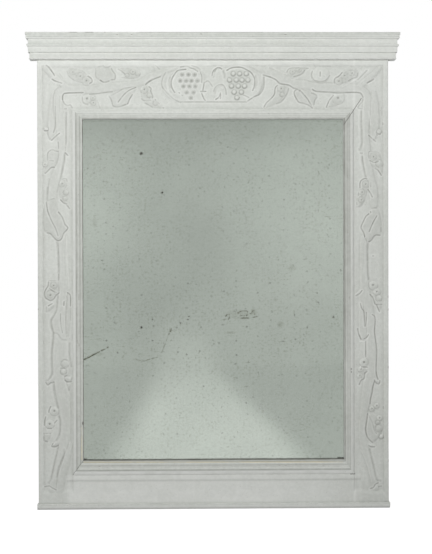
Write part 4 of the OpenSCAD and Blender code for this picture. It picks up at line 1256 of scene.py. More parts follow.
FRIEZE_LEFT = (
    stem(66, 87.5, 7, 58, 80.5, 6.5, 51, 74.5, 6, 44.5, 67.5, 5),
    stem(58.2, 114, 9.5, 57.4, 104, 10, 57.4, 97, 9.6, 60, 92, 9, 65, 89.3, 8.8, 73, 88.6, 8.5, 92, 89, 9.3,
        102, 87.5, 9.8, 112, 86.5, 9.3, 124, 84.8, 7.5, 134, 84, 6.5, 142, 81.3, 7.5, 148, 77.5, 8,
        154, 74.5, 8, 160, 72.4, 7.5, 168, 69.4, 6, 178, 67.3, 4),
    stem(157, 70.5, 4.5, 153.5, 65, 3.5),
    patch(66.3, 70.8, 67.9, 75.4, 72.5, 79.2, 77.5, 81.3, 82.5, 82.8, 88.5, 84, 91.5, 81.3, 90.6, 77.8,
        87.5, 75.4, 85, 73, 81.7, 70.2, 74, 67.8, 69.5, 68),
    patch(95, 68.3, 94.6, 75.8, 98.5, 79.6, 103.3, 81.8, 108.3, 80.9, 114.4, 78.8, 114.8, 74.2, 112.7, 71.3,
        110, 65.4, 107.5, 66.7, 104.2, 66.7, 102.5, 65, 98, 66),
    patch(117.5, 68.4, 124.2, 73.8, 121.5, 77, 128, 78.2, 137, 77.2, 139.4, 73.5, 136.5, 70.4, 132, 68.6,
        125, 67.4),
    patch(108.3, 95.4, 110.8, 100, 112.5, 105.4, 118.3, 106.3, 127.2, 103.3, 129.4, 99.2, 131.9, 94.2,
        136.4, 87, 129, 86.6, 122.5, 88.3, 116.7, 91.7),
    patch(140, 90, 140.2, 94.5, 141.5, 98.3, 145, 102.5, 151.7, 106.7, 158, 108, 163, 107.6, 159, 103.4,
        154.8, 99.4, 152.3, 95.8, 150.4, 90.8, 148.3, 86.1, 143.5, 85.6),
    berry(72.1, 71.7, 3.4), berry(79.8, 75.8, 4), berry(85.8, 80.4, 4.7), berry(132.1, 71.5, 3),
    grape(137, 73.2, 2.6), grape(126.6, 74.8, 2.2), berry(86.4, 98.2, 4.9),
    berry(92.3, 97.6, 2.6), berry(92.7, 102.4, 2.6), berry(143.6, 89.2, 4.2),
    grape(148.6, 94.8, 2.8), grape(154.6, 102.6, 2.6),
    cut(45.8, 65, 48.3, 66.7, 50.8, 70, 54.2, 75.4),
    cut(51.7, 78.8, 55.4, 80.8, 61.3, 82.9),
    ridge(50, 79.6, 54, 82, 58, 84.6),
    scribe(59, 73, 62.5, 78),
    cut(82.5, 92.1, 76, 92.3, 70.8, 92.5, 65, 92.8, 62.8, 94, 62.1, 96.4, 62.1, 99.2),
    edge_cut(62.1, 99.2, 63.8, 102.9, 66.7, 105, 70, 104.6, 71.7, 107.5),
    edge_cut(89.2, 93.8, 95.8, 93.3, 104.2, 92.1, 111.7, 91.3),
    scribe(58.3, 86.7, 54.6, 90, 52.9, 95, 52.5, 103.3, 52.5, 112),
    scribe(55.4, 95, 55.2, 111),
    scribe(59.2, 96, 59.2, 111),
    edge_cut(64, 108.4, 66, 108.2),
    cut(99.6, 79.8, 103.3, 81.8, 108.3, 80.7),
    scribe(95, 68.3, 95, 75.8, 99.2, 79.6),
    edge_cut(110.8, 68.3, 112.5, 71.3, 114.6, 74.2, 114.2, 78.8, 110.8, 79.2),
    scribe(102.5, 65, 104.2, 66.7, 107.5, 66.7, 110, 65.4),
    edge_cut(117.5, 68.8, 120.8, 70.8, 124.2, 73.8),
    scribe(120.8, 77, 128, 78, 137, 77),
    cut(87.5, 75.8, 90.8, 78.3, 91.5, 81.3, 89.2, 82.9),
    scribe(81.7, 70.4, 85, 73.3, 85.4, 75),
    scribe(66.3, 70.8, 67.9, 75.4, 72.5, 79.2, 77.5, 81.3, 82.5, 82.5),
    edge_cut(81.7, 96.7, 82.1, 100.8, 84.2, 103.3, 87.5, 104.2),
    scribe(95.8, 100, 97.5, 102.5, 99.2, 107.5),
    edge_cut(108.3, 95.4, 110.8, 100, 112.5, 105.4, 118.3, 106.3, 127.1, 103.3),
    scribe(110.8, 95, 116.7, 91.7, 122.5, 88.3),
    cut(135, 87.1, 129.2, 89.6, 124.2, 93.3, 120, 98.3, 117.5, 101.7),
    cut(131.7, 94.2, 129, 98.5, 127, 103.3),
    cut(145, 84.2, 148.3, 81.3, 154.2, 78.3, 159.5, 76.3),
    ridge(144, 82.6, 147.5, 79.8, 152, 77.2),
    cut(148.3, 86.3, 150.4, 88.3, 150, 90.8, 152.1, 95.8, 151.3, 97.5),
    edge_cut(140.8, 98.3, 143.3, 100, 150, 100),
    edge_cut(144.2, 102.5, 151.7, 106.7),
    cut(154.4, 99, 154.8, 99.4),
    edge_cut(158, 102.6, 158.6, 103.2),
    edge_cut(162.2, 107.3, 163, 107.6),
    scribe(154.7, 65.3, 159, 69),
)
MEDALLION = (
    patch(165, 72, 162, 77.5, 161, 85, 165, 91, 172, 98, 180, 101.8, 200, 101.6, 225, 101.6, 247, 101,
        258.3, 94.2, 261.7, 90, 263.3, 85, 263.3, 76.7, 258, 71, 250, 66.5, 235, 64.5, 215, 65, 195, 64.5,
        178, 66.5, relief=1.3),
    stem(184, 67.5, 3, 174, 71, 4, 165.5, 77, 4.6, 163.5, 85, 5, 166.5, 92.5, 5, 174, 98.3, 4.6,
        182, 100.6, 4),
    stem(190, 67, 3, 180, 69.6, 3, 172.6, 74.5, 3.8, 169, 80, 3.8, 168.6, 86, 3.8, 171.5, 92, 3.6,
        177, 96.5, 3),
    stem(184, 66.6, 3, 192, 66.4, 4, 198, 68.8, 4, 202, 74, 4, 203, 80, 3.6, 203.8, 84, 3),
    stem(222, 66.5, 3, 232, 65.5, 3, 243, 66, 3.5, 252, 70, 4.5, 257.5, 76, 5, 259, 82, 5.5, 257.5, 90, 5,
        252, 97, 4),
    stem(210.5, 76, 3, 210.8, 73, 3, 212.5, 69.6, 3, 215.5, 67, 3, 219, 66.4, 3, 222.5, 69, 3, 224, 74, 3,
        224.5, 79, 2.5),
    stem(213, 97, 3, 213.5, 91.5, 3.2, 215.5, 87, 3.2, 219.5, 84.8, 3.2, 223, 87, 3.2, 225, 92, 3),
    *grapes(FruitKind.SHADED, {
        74.1: (181.3, 187.6, 193.8), 80.2: (179.3, 185.3, 190.6, 196.7), 85.7: (182.5, 188.6, 194.4),
        91.8: (185.8, 192.6), 97.3: (190.0,),
    }),
    *grapes(FruitKind.RINGED, {
        73.3: (232.5, 238.8, 245.6), 79.6: (228.8, 235.5, 241.3, 247.2), 85.6: (230.8, 237.5, 243.8),
        91.7: (233.4, 240.7), 97.2: (236.2,),
    }),
    edge_cut(165, 72, 162, 77.5, 161, 85, 165, 91, 172, 98, 180, 102),
    edge_cut(180, 101.5, 200, 101.5, 225, 101.5, 246, 101.5),
    cut(247, 100.5, 254, 96, 258.3, 94.2, 261.7, 90, 263.3, 85, 263.3, 76.7),
    ridge(178, 68.5, 170, 74, 167, 79, 166, 85, 168, 91, 171.5, 95),
    cut(185, 69, 178, 70, 174.5, 73, 171.5, 78, 170.5, 83, 171.5, 88, 174, 92),
    edge_cut(180, 66.5, 186, 66, 190, 67.5, 194, 69, 197, 71),
    edge_cut(191, 65.5, 196, 67, 199.5, 69.5),
    edge_cut(199, 70, 201, 76, 201, 82),
    cut(178.2, 92.3, 178.8, 92.8),
    edge_cut(181.2, 94.8, 181.8, 95.2),
    cut(203.5, 82, 202.8, 86, 202, 91),
    cut(200, 91, 205, 91),
    cut(201, 93, 203, 98, 204.5, 100),
    ridge(204, 92, 204, 96, 206, 99),
    edge_cut(204.5, 82, 206.5, 80.5, 209, 82, 211.5, 86),
    cut(211.3, 75, 212, 72, 214, 69, 217, 67),
    shade(212.6, 76.5, 213.4, 72.5, 215.6, 69.2, 218.5, 68),
    cut(214, 71, 216, 68, 218.6, 67.3, 221, 68.6),
    shade(222.5, 70.5, 223.6, 74, 223.8, 77),
    edge_cut(213, 91, 214, 88, 217, 85, 221, 84, 223.5, 86, 225, 90, 225.5, 94),
    shade(213.6, 92.5, 215, 88.4, 218, 85.6, 221, 85.2),
    cut(219.6, 92.6, 219.8, 95.5, 219.5, 98),
    shade(169.5, 77, 168.7, 82, 169.6, 87),
    shade(254.6, 76, 255.6, 81, 254.4, 87),
    shade(262.6, 77, 262.4, 84, 260, 90.5, 258, 94),
    ridge(215, 90, 217, 87, 220, 86, 222, 88),
    cut(219.3, 94, 218, 97, 215, 99),
    edge_cut(242.5, 94.5, 248, 97),
    cut(226, 70, 231, 67.5, 240, 67, 247, 70, 251, 73, 254, 79, 253.5, 86, 252, 90),
)
FRIEZE_RIGHT = (
    stem(358, 87, 7, 366, 80, 6.5, 373, 74, 6, 379.5, 67.5, 5),
    stem(366, 114, 10, 367, 103, 9.5, 366.8, 96.5, 9, 363.5, 91.2, 8.6, 358, 88.6, 8.6, 350, 87.6, 9,
        338, 87.4, 9.5, 326, 87, 9.3, 314, 86, 9, 302, 84, 9.5, 292, 82.4, 9, 284, 79.2, 9.5, 276, 75, 9.5,
        268, 71.3, 8.5, 262, 69, 7, 254, 66.5, 4),
    stem(265, 70, 4.5, 270, 64, 3.5),
    patch(286.3, 71.9, 287.5, 69.2, 290, 67.9, 294.2, 67.3, 307.5, 67.7, 304.4, 69.8, 302.5, 72.5,
        299.2, 74.8, 293.3, 76.5, 289, 75.5),
    patch(333.6, 82.7, 333.8, 80, 335, 77.5, 338.3, 75.8, 341.7, 72.1, 345, 68.3, 349, 65.8, 354, 66.5,
        357.7, 72, 356.4, 77, 352.5, 78.2, 348.3, 80.6, 342, 83.2),
    patch(276.7, 85, 274.6, 87.5, 273.8, 93.3, 271.7, 96.7, 265.4, 102.9, 263.3, 107.2, 270, 106,
        275.8, 103.5, 283.3, 98.5, 287.3, 91.7, 288.1, 88, 283, 84.6),
    patch(296.7, 88.6, 293.8, 90.8, 293.8, 94.2, 298.3, 101.7, 304.2, 103.5, 312, 107.8, 313.5, 104.2,
        314.4, 100, 316.5, 96.7, 315, 94.2, 310.8, 92.3, 304, 89),
    patch(333, 94.5, 329.2, 99.2, 327.5, 102.5, 325.6, 107.2, 331, 106.5, 337, 104.5, 342, 101),
    berry(292.1, 71.3, 3), berry(298.3, 69.5, 2.8), grape(320, 74, 8.8, 2.8),
    berry(338.5, 80.8, 4), berry(344.2, 75.3, 3.8), berry(351.9, 72.8, 3.4),
    berry(280.7, 88.2, 4.2), grape(281.7, 94.2, 2.6), berry(337.5, 97.5, 6.6),
    cut(262.5, 74.6, 266.7, 75.8, 271.7, 77.5, 275.4, 79.6, 279.6, 83.3, 287.9, 84.6, 292.5, 87.5,
        296.7, 88.8, 299.2, 90.8),
    cut(311.7, 88.8, 315, 90.8, 319.2, 91.3, 328.3, 91.8, 337.5, 92.5, 345.8, 92.1, 357.5, 92.1,
        360.8, 93.3, 362.7, 96.7),
    edge_cut(362.7, 96.7, 362.1, 100.8, 359.2, 104.2, 357.5, 107.5, 361.7, 108.2),
    ridge(270, 66.7, 274, 68.3, 281, 71.7, 286, 74),
    ridge(290.8, 79.2, 297.5, 77.5),
    scribe(304, 79.2, 315.8, 82.5, 326.7, 82.1, 332.5, 82.5),
    scribe(265, 68.3, 269.2, 64.2),
    edge_cut(286.3, 71.7, 287.5, 69.2, 290, 67.9, 294.2, 67.5, 307.5, 67.9),
    edge_cut(304.2, 69.6, 302.5, 72.5, 299.2, 74.6, 293.3, 76.3),
    edge_cut(311.7, 70.8, 310.8, 74.2, 311.3, 77.5),
    edge_cut(314.2, 80, 319.2, 81.3, 324.2, 80.4, 327.5, 77.5, 329.2, 75),
    cut(319.6, 71.7, 319.6, 75.8),
    scribe(323, 75.6, 323.8, 76),
    scribe(319, 66, 330, 66),
    scribe(313, 64, 315, 66.7),
    cut(341.7, 72.1, 338.3, 75.8, 335, 77.5, 333.8, 80, 333.8, 82.5),
    edge_cut(357.5, 72.5, 356.7, 76.7, 352.5, 77.9, 348.3, 80.4),
    ridge(345, 68.3, 349, 65.8),
    ridge(341.7, 86.7, 349.2, 82.5, 355.8, 78.8, 360, 74.2, 365.8, 68.3),
    edge_cut(357.5, 79.2, 361.7, 75, 366.7, 70),
    scribe(360, 68.3, 361.7, 66.7),
    cut(366.7, 82.5, 370.8, 80.4, 373.3, 78.8),
    ridge(367.5, 84, 371.5, 82, 374, 80.3),
    cut(276.7, 85, 274.6, 87.5, 273.8, 93.3, 271.7, 96.7, 268.3, 100, 265.4, 102.9, 263.3, 106.7),
    edge_cut(287.9, 88.3, 287.1, 91.7, 285.4, 95, 283.3, 98.3, 280, 101.7, 275.8, 103.3),
    cut(296.7, 88.8, 293.8, 90.8, 293.8, 94.2, 295.8, 98.3, 298.3, 101.7, 304.2, 103.3, 309.2, 105.4,
        311.7, 107.5),
    cut(299.2, 89.6, 303.3, 94.2, 306.7, 98.3, 309.2, 102.5, 310.8, 105),
    ridge(297.6, 90.4, 301.6, 95, 305, 99),
    edge_cut(310.8, 92.5, 315, 94.2, 316.3, 96.7, 314.2, 100, 313.3, 104.2),
    cut(332.9, 95, 329.2, 99.2, 327.5, 102.5, 325.8, 106.7),
    scribe(372.9, 103.3, 373, 113),
)
FRIEZE_VINE = (*MEDALLION, *FRIEZE_LEFT, *FRIEZE_RIGHT)
def away_from(points: Array, x: Array, z: Array) -> Array:
    """Distance to a line through the points: the least of the distances to its straight stretches."""
    start, run = points[:-1, :, None, None], np.diff(points, axis=0)[:, :, None, None]
    dx, dz = x - start[:, 0], z - start[:, 1]
    share = np.clip((dx * run[:, 0] + dz * run[:, 1]) / (run[:, 0] ** 2 + run[:, 1] ** 2), 0.0, 1.0)
    return np.hypot(dx - share * run[:, 0], dz - share * run[:, 1]).min(axis=0)


def within(outline: Array, x: Array, z: Array) -> Array:
    """Whether points lie in a closed outline: a ray from them crosses its sides an odd number of times."""
    start, end = outline[:-1, :, None, None], outline[1:, :, None, None]
    spans = (start[:, 1] > z) != (end[:, 1] > z)
    rise = np.where(end[:, 1] == start[:, 1], 1.0, end[:, 1] - start[:, 1])
    beyond = x < start[:, 0] + (end[:, 0] - start[:, 0]) * (z - start[:, 1]) / rise
    return (spans & beyond).sum(axis=0) % 2 == 1


def at_least(mask: Array, values: Array) -> None:
    """Raises the mask in place to the values, wherever these are higher."""
    np.maximum(mask, values, out=mask)


@dataclass
class Relief:
    """The carved surface over one board: heights above the sunk ground, painted shade in the cuts and on the
    raised work, and painted light beside them.
    """

    xs: Array
    zs: Array
    shoulder: float = 6.0  # width over which a stem rises
    under: float = 0.45  # share of what lies under a leaf or fruit that still shows
    rim: float = 0.22  # depth and width of the groove along an outline
    rim_w: float = 1.6
    reach: float = 6.4  # how far past its outline a feature is worked
    cut_depth: float = 1.25
    low_patch: float = 1.5  # a patch no higher than this takes no shade
    height: Array = field(init=False)
    carved_shade: Array = field(init=False)
    clean: Array = field(init=False)

    def __post_init__(self) -> None:
        """Starts with the tooled ground: soft unevenness with fine cuts along the grain."""
        x, z = np.meshgrid(self.xs, self.zs)
        self.height = 0.42 * uneven(x, z, 14.0, 3, 3) + 0.10 * uneven(x, z * 0.25, 3.5, 8, 2)
        self.carved_shade = np.zeros(x.shape)
        self.clean = np.zeros(x.shape)

    def window(self, points: Array, reach: float) -> tuple[tuple[slice, slice], Array, Array]:
        """The grid lines near some points.

        Args:
            points: x and z of each point.
            reach: how far around them the feature goes.

        Returns:
            the slices of rows and columns, and the x and z of the grid points in them.
        """
        low, high = points.min(axis=0) - reach, points.max(axis=0) + reach
        columns = slice(*np.searchsorted(self.xs, [low[0], high[0]]))
        rows = slice(*np.searchsorted(self.zs, [low[1], high[1]]))
        x, z = np.meshgrid(self.xs[columns], self.zs[rows])
        return (rows, columns), x, z

    def lay(self, place: tuple[slice, slice], edge: Array, top: Array, shoulder: float, under: float) -> None:
        """Lays one feature over what is there.

        Inside its outline the height is its own top times a soft rise over the shoulder, and no lower than a
        share of what was there. Along the outline runs a bell-shaped groove, except where stems meet.

        Args:
            place: the rows and columns that it covers.
            edge: distance inside the outline, negative outside.
            top: its own height well inside the outline.
            shoulder: width over which it rises.
            under: the share of what was there; one lets it grow out of what it meets.
        """
        old = self.height[place]
        raised = np.maximum(top * pillow(edge / shoulder), under * old)
        open_ground = 1.0 - under * smooth((old - 0.4) / 0.8)
        groove = self.rim * bell(edge, self.rim_w) * open_ground
        self.height[place] = np.where(edge > 0, raised, old) - groove

    def stem(self, stem: Stem) -> None:
        """Carves a stem: at each point the nearest place on its middle line gives width and distance.

        Args:
            stem: the stem.
        """
        line = spline(stem.points)
        x, z = on_face(line[:, 0], line[:, 1])
        half = line[:, 2] * SHEET_UNIT / 2
        reach = half.max() + self.reach
        place, gx, gz = self.window(np.stack([x, z], 1), reach)
        if gx.size == 0:
            return
        edge = np.full(gx.shape, -1e3)
        across = np.zeros(gx.shape)
        for i in range(len(x) - 1):
            run = np.array([x[i + 1] - x[i], z[i + 1] - z[i]])
            length = np.hypot(*run)
            ends = [min(z[i], z[i + 1]) - reach, max(z[i], z[i + 1]) + reach]
            near = slice(*np.searchsorted(gz[:, 0], ends))
            dx, dz = gx[near] - x[i], gz[near] - z[i]
            t = np.clip((dx * run[0] + dz * run[1]) / length**2, 0.0, 1.0)
            inside = half[i] + (half[i + 1] - half[i]) * t - np.hypot(dx - t * run[0], dz - t * run[1])
            closer = inside > edge[near]
            edge[near] = np.where(closer, inside, edge[near])
            across[near] = np.where(closer, (dx * run[1] - dz * run[0]) / length, across[near])
        bark = 0.13 * np.sin(across * 1.1 + 2.2 * uneven(gx, gz, 30.0, 21)) * smooth(edge / 6.0)
        self.lay(place, edge, stem.relief + bark, self.shoulder, 1.0)
        # Painted shade over the body of the stem.
        at_least(self.carved_shade[place], 0.13 * smooth(edge / 4.0))

    def patch(self, patch: Patch) -> None:
        """Carves a leaf, pod or bud: its height depends on the distance inside its outline.

        All but a low patch takes a little painted shade, and the ground just outside it takes a painted
        highlight.

        Args:
            patch: the leaf, pod or bud.
        """
        across, down = spline(np.vstack([patch.outline, patch.outline[:1]]), 4).T
        outline = np.stack(on_face(across, down), 1)
        place, gx, gz = self.window(outline, self.reach)
        if gx.size == 0:
            return
        edge = away_from(outline, gx, gz) * np.where(within(outline, gx, gz), 1.0, -1.0)
        soft = 0.35 * uneven(gx, gz, 11.0, 27, 2)
        self.lay(place, edge, patch.relief + soft, 1.3 * self.shoulder, self.under)
        at_least(self.carved_shade[place], 0.21 * smooth(edge / 3.0) * (patch.relief > self.low_patch))
        at_least(self.clean[place], 0.45 * bell(edge + 2.6, 1.8))

    def fruit(self, fruit: Fruit) -> None:
        """Carves a round fruit: a dome with painted shade under it or on it and a painted highlight, or a
        ring round a drilled hole with painted shade in the hole.

        Args:
            fruit: the fruit.
        """
        centre = np.array(on_face(*fruit.place))
        radius = fruit.radius * SHEET_UNIT
        place, gx, gz = self.window(centre[None, :], radius + self.reach)
        if gx.size == 0:
            return
        away = np.hypot(gx - centre[0], gz - centre[1])
        # Painted shade, heavier on the lower side where light from above does not reach.
        below = smooth(0.5 + (centre[1] - gz) / radius)
        top, grime_and_shade = fruit.relief + np.zeros(gx.shape), (0.10 + 0.42 * below) * bell(away - radius, 1.5)
        if fruit.kind is FruitKind.RINGED:
            grime_and_shade = (0.28 + 0.50 * below) * bell(away - 0.82 * radius, 2.0)
            at_least(self.clean[place], 0.7 * bell(away, 0.40 * radius))
        elif fruit.kind is FruitKind.DRILLED:
            hole = max(2.0, 0.22 * radius)
            top = top - 2.6 * bell(away, hole) - 0.35 * bell(away - 0.66 * radius, 1.2)
            grime_and_shade = np.maximum(0.6 * grime_and_shade, 0.95 * bell(away, hole))
        elif fruit.kind is FruitKind.SHADED:
            flattened = np.hypot(gx - centre[0], 1.15 * (gz - centre[1] + 0.6))
            grime_and_shade = 1.05 * bell(flattened, 0.62 * radius)
            at_least(self.clean[place], 1.2 * bell(away - 1.02 * radius, 1.7))
        self.lay(place, radius - away, top, 0.8 * radius, self.under)
        at_least(self.carved_shade[place], grime_and_shade)

    def line(self, line: Line) -> None:
        """Cuts or raises a narrow line whose section is a bell curve.

        A cut takes painted shade, and painted highlights lie on both its edges and on a raised line.

        Args:
            line: the line.
        """
        across, down = spline(line.points, 4).T
        points = np.stack(on_face(across, down), 1)
        place, gx, gz = self.window(points, 5.0 * line.width)
        if gx.size == 0:
            return
        away = away_from(points, gx, gz)
        section = bell(away, line.width)
        lips = bell(away - 2.2 * line.width, line.width) if line.depth > 0 else section
        patchy = 0.78 + 0.34 * uneven(gx, gz, 10.0, 61, 2)
        self.height[place] -= self.cut_depth * line.depth * section
        at_least(self.carved_shade[place], line.depth * section * patchy)
        at_least(self.clean[place], abs(line.depth) * lips)

    def carve(self, vine: tuple[Feature, ...]) -> None:
        """Carves the raised features in order, later ones over earlier ones, and then every line."""
        ways = {Stem: self.stem, Patch: self.patch, Fruit: self.fruit, Line: self.line}
        for feature in sorted(vine, key=lambda feature: isinstance(feature, Line)):
            ways[type(feature)](feature)


@dataclass
class Carcass:
    """The carcass: two stiles, the frieze rail and the bottom rail, joined by pegged tenons."""

    finishes: Finishes
    half_w: float = 528.0
    stile_w: float = 128.0
    board_t: float = 30.0
    foot: float = 18.0
    top: float = 1425.0
    body_h: float = 1352.4
    open_bottom: float = 142.0
    open_top: float = 1182.0
    ground_depth: float = 3.0
    ground_half: float = 515.0
    ground_in: float = 422.0
    ground_foot: float = 48.0
    ground_top: float = 1338.0
    frieze_z0: float = 1204.0
    apron_h: float = 88.0
    apron_half: float = 444.0
    apron_depth: float = 1.5
    rebate_w: float = 12.0
    rebate_d: float = 18.0
    tenon_l: float = 60.0
    tenon_t: float = 10.0
    tenon_shoulder: float = 12.0
    tenon_gap: float = 40.0
    tenon_back: float = 9.0
    tenon_play: float = 0.1
    peg_r: float = 5.05
    peg_l: float = 24.05
    peg_inset: float = 25.0
    pocket_w: float = 60.0
    pocket_d: float = 9.2
    pocket_r: float = 8.0
    pocket_z: Pair = (997.0, 1127.0)
    carve_pitch: float = 1.27
    plain_pitch: float = 4.0

    @property
    def open_half(self) -> float:
        """Half the width of the opening."""
        return self.half_w - self.stile_w

    def tenon_spans(self) -> list[Pair]:
        """Where the tenons are: one on the bottom rail, two on the frieze rail.

        Returns:
            lowest and highest edge of each.
        """
        shoulder, gap = self.tenon_shoulder, self.tenon_gap
        low, high = self.open_top + self.rebate_w, self.top
        return [
            (self.foot + shoulder, self.open_bottom - self.rebate_w - shoulder),
            (low + shoulder, (low + high - gap) / 2),
            ((low + high + gap) / 2, high - shoulder),
        ]

    def peg_heights(self) -> list[float]:
        """Heights of the pegs: two in the bottom tenon, one in each tenon of the frieze rail."""
        bottom, lower, upper = self.tenon_spans()
        quarters = [bottom[0] + (bottom[1] - bottom[0]) * k for k in (0.25, 0.75)]
        return quarters + [sum(lower) / 2, sum(upper) / 2]

    def face(self, xs: Array, zs: Array, vine: tuple[Feature, ...]) -> tuple[Array, Array, Array]:
        """The front surface over a grid of lines.

        The face stands the ground's depth above the sunk ground, with an eased slope between them. The vine
        is carved only in the ground. The step of the bottom rail and the worn outer edges are taken off last.

        Args:
            xs: the upright grid lines.
            zs: the level grid lines.
            vine: the features that are carved here.

        Returns:
            y in millimetres, the mask of grime and painted shade, and the mask of painted light, with a value
            for each grid point.
        """
        x, z = np.meshgrid(xs, zs)
        relief = Relief(xs, zs)
        relief.carve(vine)
        off = np.abs(x)
        side = np.minimum(self.ground_half - off, np.maximum(off - self.ground_in, z - self.frieze_z0))
        inside = np.minimum(side, np.minimum(0.2 * (z - self.ground_foot), 0.5 * (self.ground_top - z)))
        inside = inside + 0.8 * uneven(x, z, 22.0, 31)
        slope = np.where(x < 0, 5.5, 3.5)
        border = self.ground_depth * (1.0 - smooth((inside + 0.8) / slope))
        carved = np.where(inside > 0, relief.height, 0.0) - 0.35 * bell(inside - slope, 1.6)
        height = np.maximum(carved, border) + 0.14 * uneven(x, z, 70.0, 12) * (inside < 0)
        apron = smooth(np.minimum(self.apron_h - z, self.apron_half - off) / 6.0 + 0.4)
        rim = np.minimum(self.half_w - off, np.maximum(z - self.foot, 0.0) + 1.2)
        worn = 1.6 * (1.0 - quarter_round(rim / 2.6))
        level = height - self.apron_depth * apron - worn
        # Painted shade darkens the narrow and broad hollows of the carving, its cuts and the corners.
        hollow = np.clip((blurred(height, 3) - height) / 1.5, 0.0, 1.0)
        broad = np.clip((blurred(height, 9) - height) / 2.6, 0.0, 0.35) * (inside > 0)
        carved_shade = 0.61 * relief.carved_shade * (inside > -1.0)
        grime_and_shade = 0.16 * hollow + 0.3 * broad + self.corner_shade(x, z) + carved_shade + self.dust(x, z)
        clean = 0.52 * relief.clean * (inside > -1.0) + self.painted_light_places(x, z)
        return self.ground_depth - self.board_t - level, np.clip(grime_and_shade, 0.0, 1.0), np.clip(clean, 0.0, 1.0)

    def corner_shade(self, x: Array, z: Array) -> Array:
        """Painted shade above the base strip and along the step of the bottom rail."""
        step = 0.12 * bell(z - self.apron_h + 1.0, 4.0) * (np.abs(x) < self.apron_half)
        return 0.2 * bell(z - self.foot - 0.5, 4.0) + step

    def dust(self, x: Array, z: Array) -> Array:
        """Painted shade: a broad darker place on the right stile and another at the right end of the bottom
        rail.
        """
        dusty = 0.07 * bell(x - 490.0, 50.0) * bell(z - 800.0, 120.0)
        return dusty + 0.05 * smooth((x - 300.0) / 120.0) * smooth((100.0 - z) / 20.0)

    def painted_light_places(self, x: Array, z: Array) -> Array:
        """Painted light: where the paint is made lighter than its own colour, to stand in for light.

        These are a strip under the cornice, the lower part of the bottom rail, the edge beside the right
        sight moulding, and the upper ends of both stiles.

        Args:
            x: across, at each grid point.
            z: height, at each grid point.

        Returns:
            how much painted light there is at each grid point.
        """
        off = np.abs(x)
        strip = smooth((z - self.ground_top + 16.0) / 16.0) * (z < self.body_h + 1.0)
        rail = 0.36 * smooth((self.open_bottom - 36.0 - z) / 3.0)
        rail *= smooth((self.apron_half + 12.0 - off) / 30.0)
        rail *= (1.25 - 0.8 * smooth((x - 120.0) / 260.0)) * (1.0 + 0.25 * smooth((70.0 - z) / 20.0))
        beside = 0.40 * bell(x - self.ground_in - 3.0, 4.0)
        aloft = np.where(x < 0, 0.22 * smooth((z - 900.0) / 250.0), 0.14 * smooth((z - 1130.0) / 80.0))
        outer = aloft * smooth((off - 340.0) / 120.0)
        strip = 0.42 * strip + 0.40 * bell(z - self.body_h + 3.5, 2.5)
        return strip * (1.0 - 0.5 * smooth((off - 250.0) / 150.0)) + rail + beside + outer

    def slab(self, xs: Array, zs: Array, vine: tuple[Feature, ...]) -> Shape:
        """A board with a carved front: the front grid, one face for each side and one for the back.

        Args:
            xs: the upright grid lines.
            zs: the level grid lines.
            vine: the features that are carved here.

        Returns:
            the board with its masks.
        """
        y, grime_and_shade, clean = self.face(xs, zs, vine)
        x, z = np.meshgrid(xs, zs)
        front = np.stack([x, y, z], -1).reshape(-1, 3)
        back = np.array([[xs[0], 0, zs[0]], [xs[-1], 0, zs[0]], [xs[-1], 0, zs[-1]], [xs[0], 0, zs[-1]]])
        n = front.shape[0]
        index = np.arange(n).reshape(len(zs), len(xs))
        faces = grid_quads(len(zs), len(xs)).tolist()
        faces.append([n, n + 3, n + 2, n + 1])
        faces.append([*index[0, ::-1].tolist(), n, n + 1])
        faces.append([*index[-1].tolist(), n + 2, n + 3])
        faces.append([*index[:, 0].tolist(), n + 3, n])
        faces.append([*index[::-1, -1].tolist(), n + 1, n + 2])
        values = {"grime_and_shade": grime_and_shade, "clean": clean, "bare": self.chips(x, y, z)}
        masks = {name: np.append(value.ravel(), np.zeros(4)) for name, value in values.items()}
        return Shape(np.vstack([front, back]), faces, masks)

    def chips(self, x: Array, y: Array, z: Array) -> Array:
        """Where the paint is worn off: small places along the outer edges, where a soft noise is high."""
        rim = self.half_w - np.abs(x)
        patchy = uneven(x * 0.7, z, 13.0, 55, 3)
        return 0.75 * smooth((patchy - 0.42) / 0.2) * bell(rim, 2.2) * (y < 0)

    def peg_holes(self) -> list[Shape]:
        """The holes of the pegs, from the back.

        Returns:
            the forms that are cut out.
        """
        profile = np.array([[0, 1], [self.peg_r, 1], [self.peg_r, -self.peg_l], [0, -self.peg_l]])
        return [
            turned_shape(profile, (side * (self.open_half + self.peg_inset), 0.0, z), 24)
            for side in (-1, 1)
            for z in self.peg_heights()
        ]

    def pocket(self, side: int) -> Shape:
        """The pocket for the hanger: a rectangle with round corners, sunk from the back.

        Args:
            side: -1 for the left stile, 1 for the right one.

        Returns:
            the form that is cut out.
        """
        x = side * (self.half_w - self.stile_w / 2)
        radius, (low, high) = self.pocket_r, self.pocket_z
        left, right = x - self.pocket_w / 2 + radius, x + self.pocket_w / 2 - radius
        bottom, top = low + radius, high - radius
        middles = [(right, top), (left, top), (left, bottom), (right, bottom)]
        corners = [arc(middle, radius, 90.0 * k, 90.0 * k + 90.0, 6) for k, middle in enumerate(middles)]
        outline = np.vstack(corners)
        count = len(outline)
        vertices = np.vstack([np.insert(outline, 1, y, axis=1) for y in (1.0, -self.pocket_d)])
        faces = grid_quads(2, count, close_columns=True).tolist()
        faces += [list(range(count))[::-1], list(range(count, 2 * count))]
        return Shape(vertices, faces)

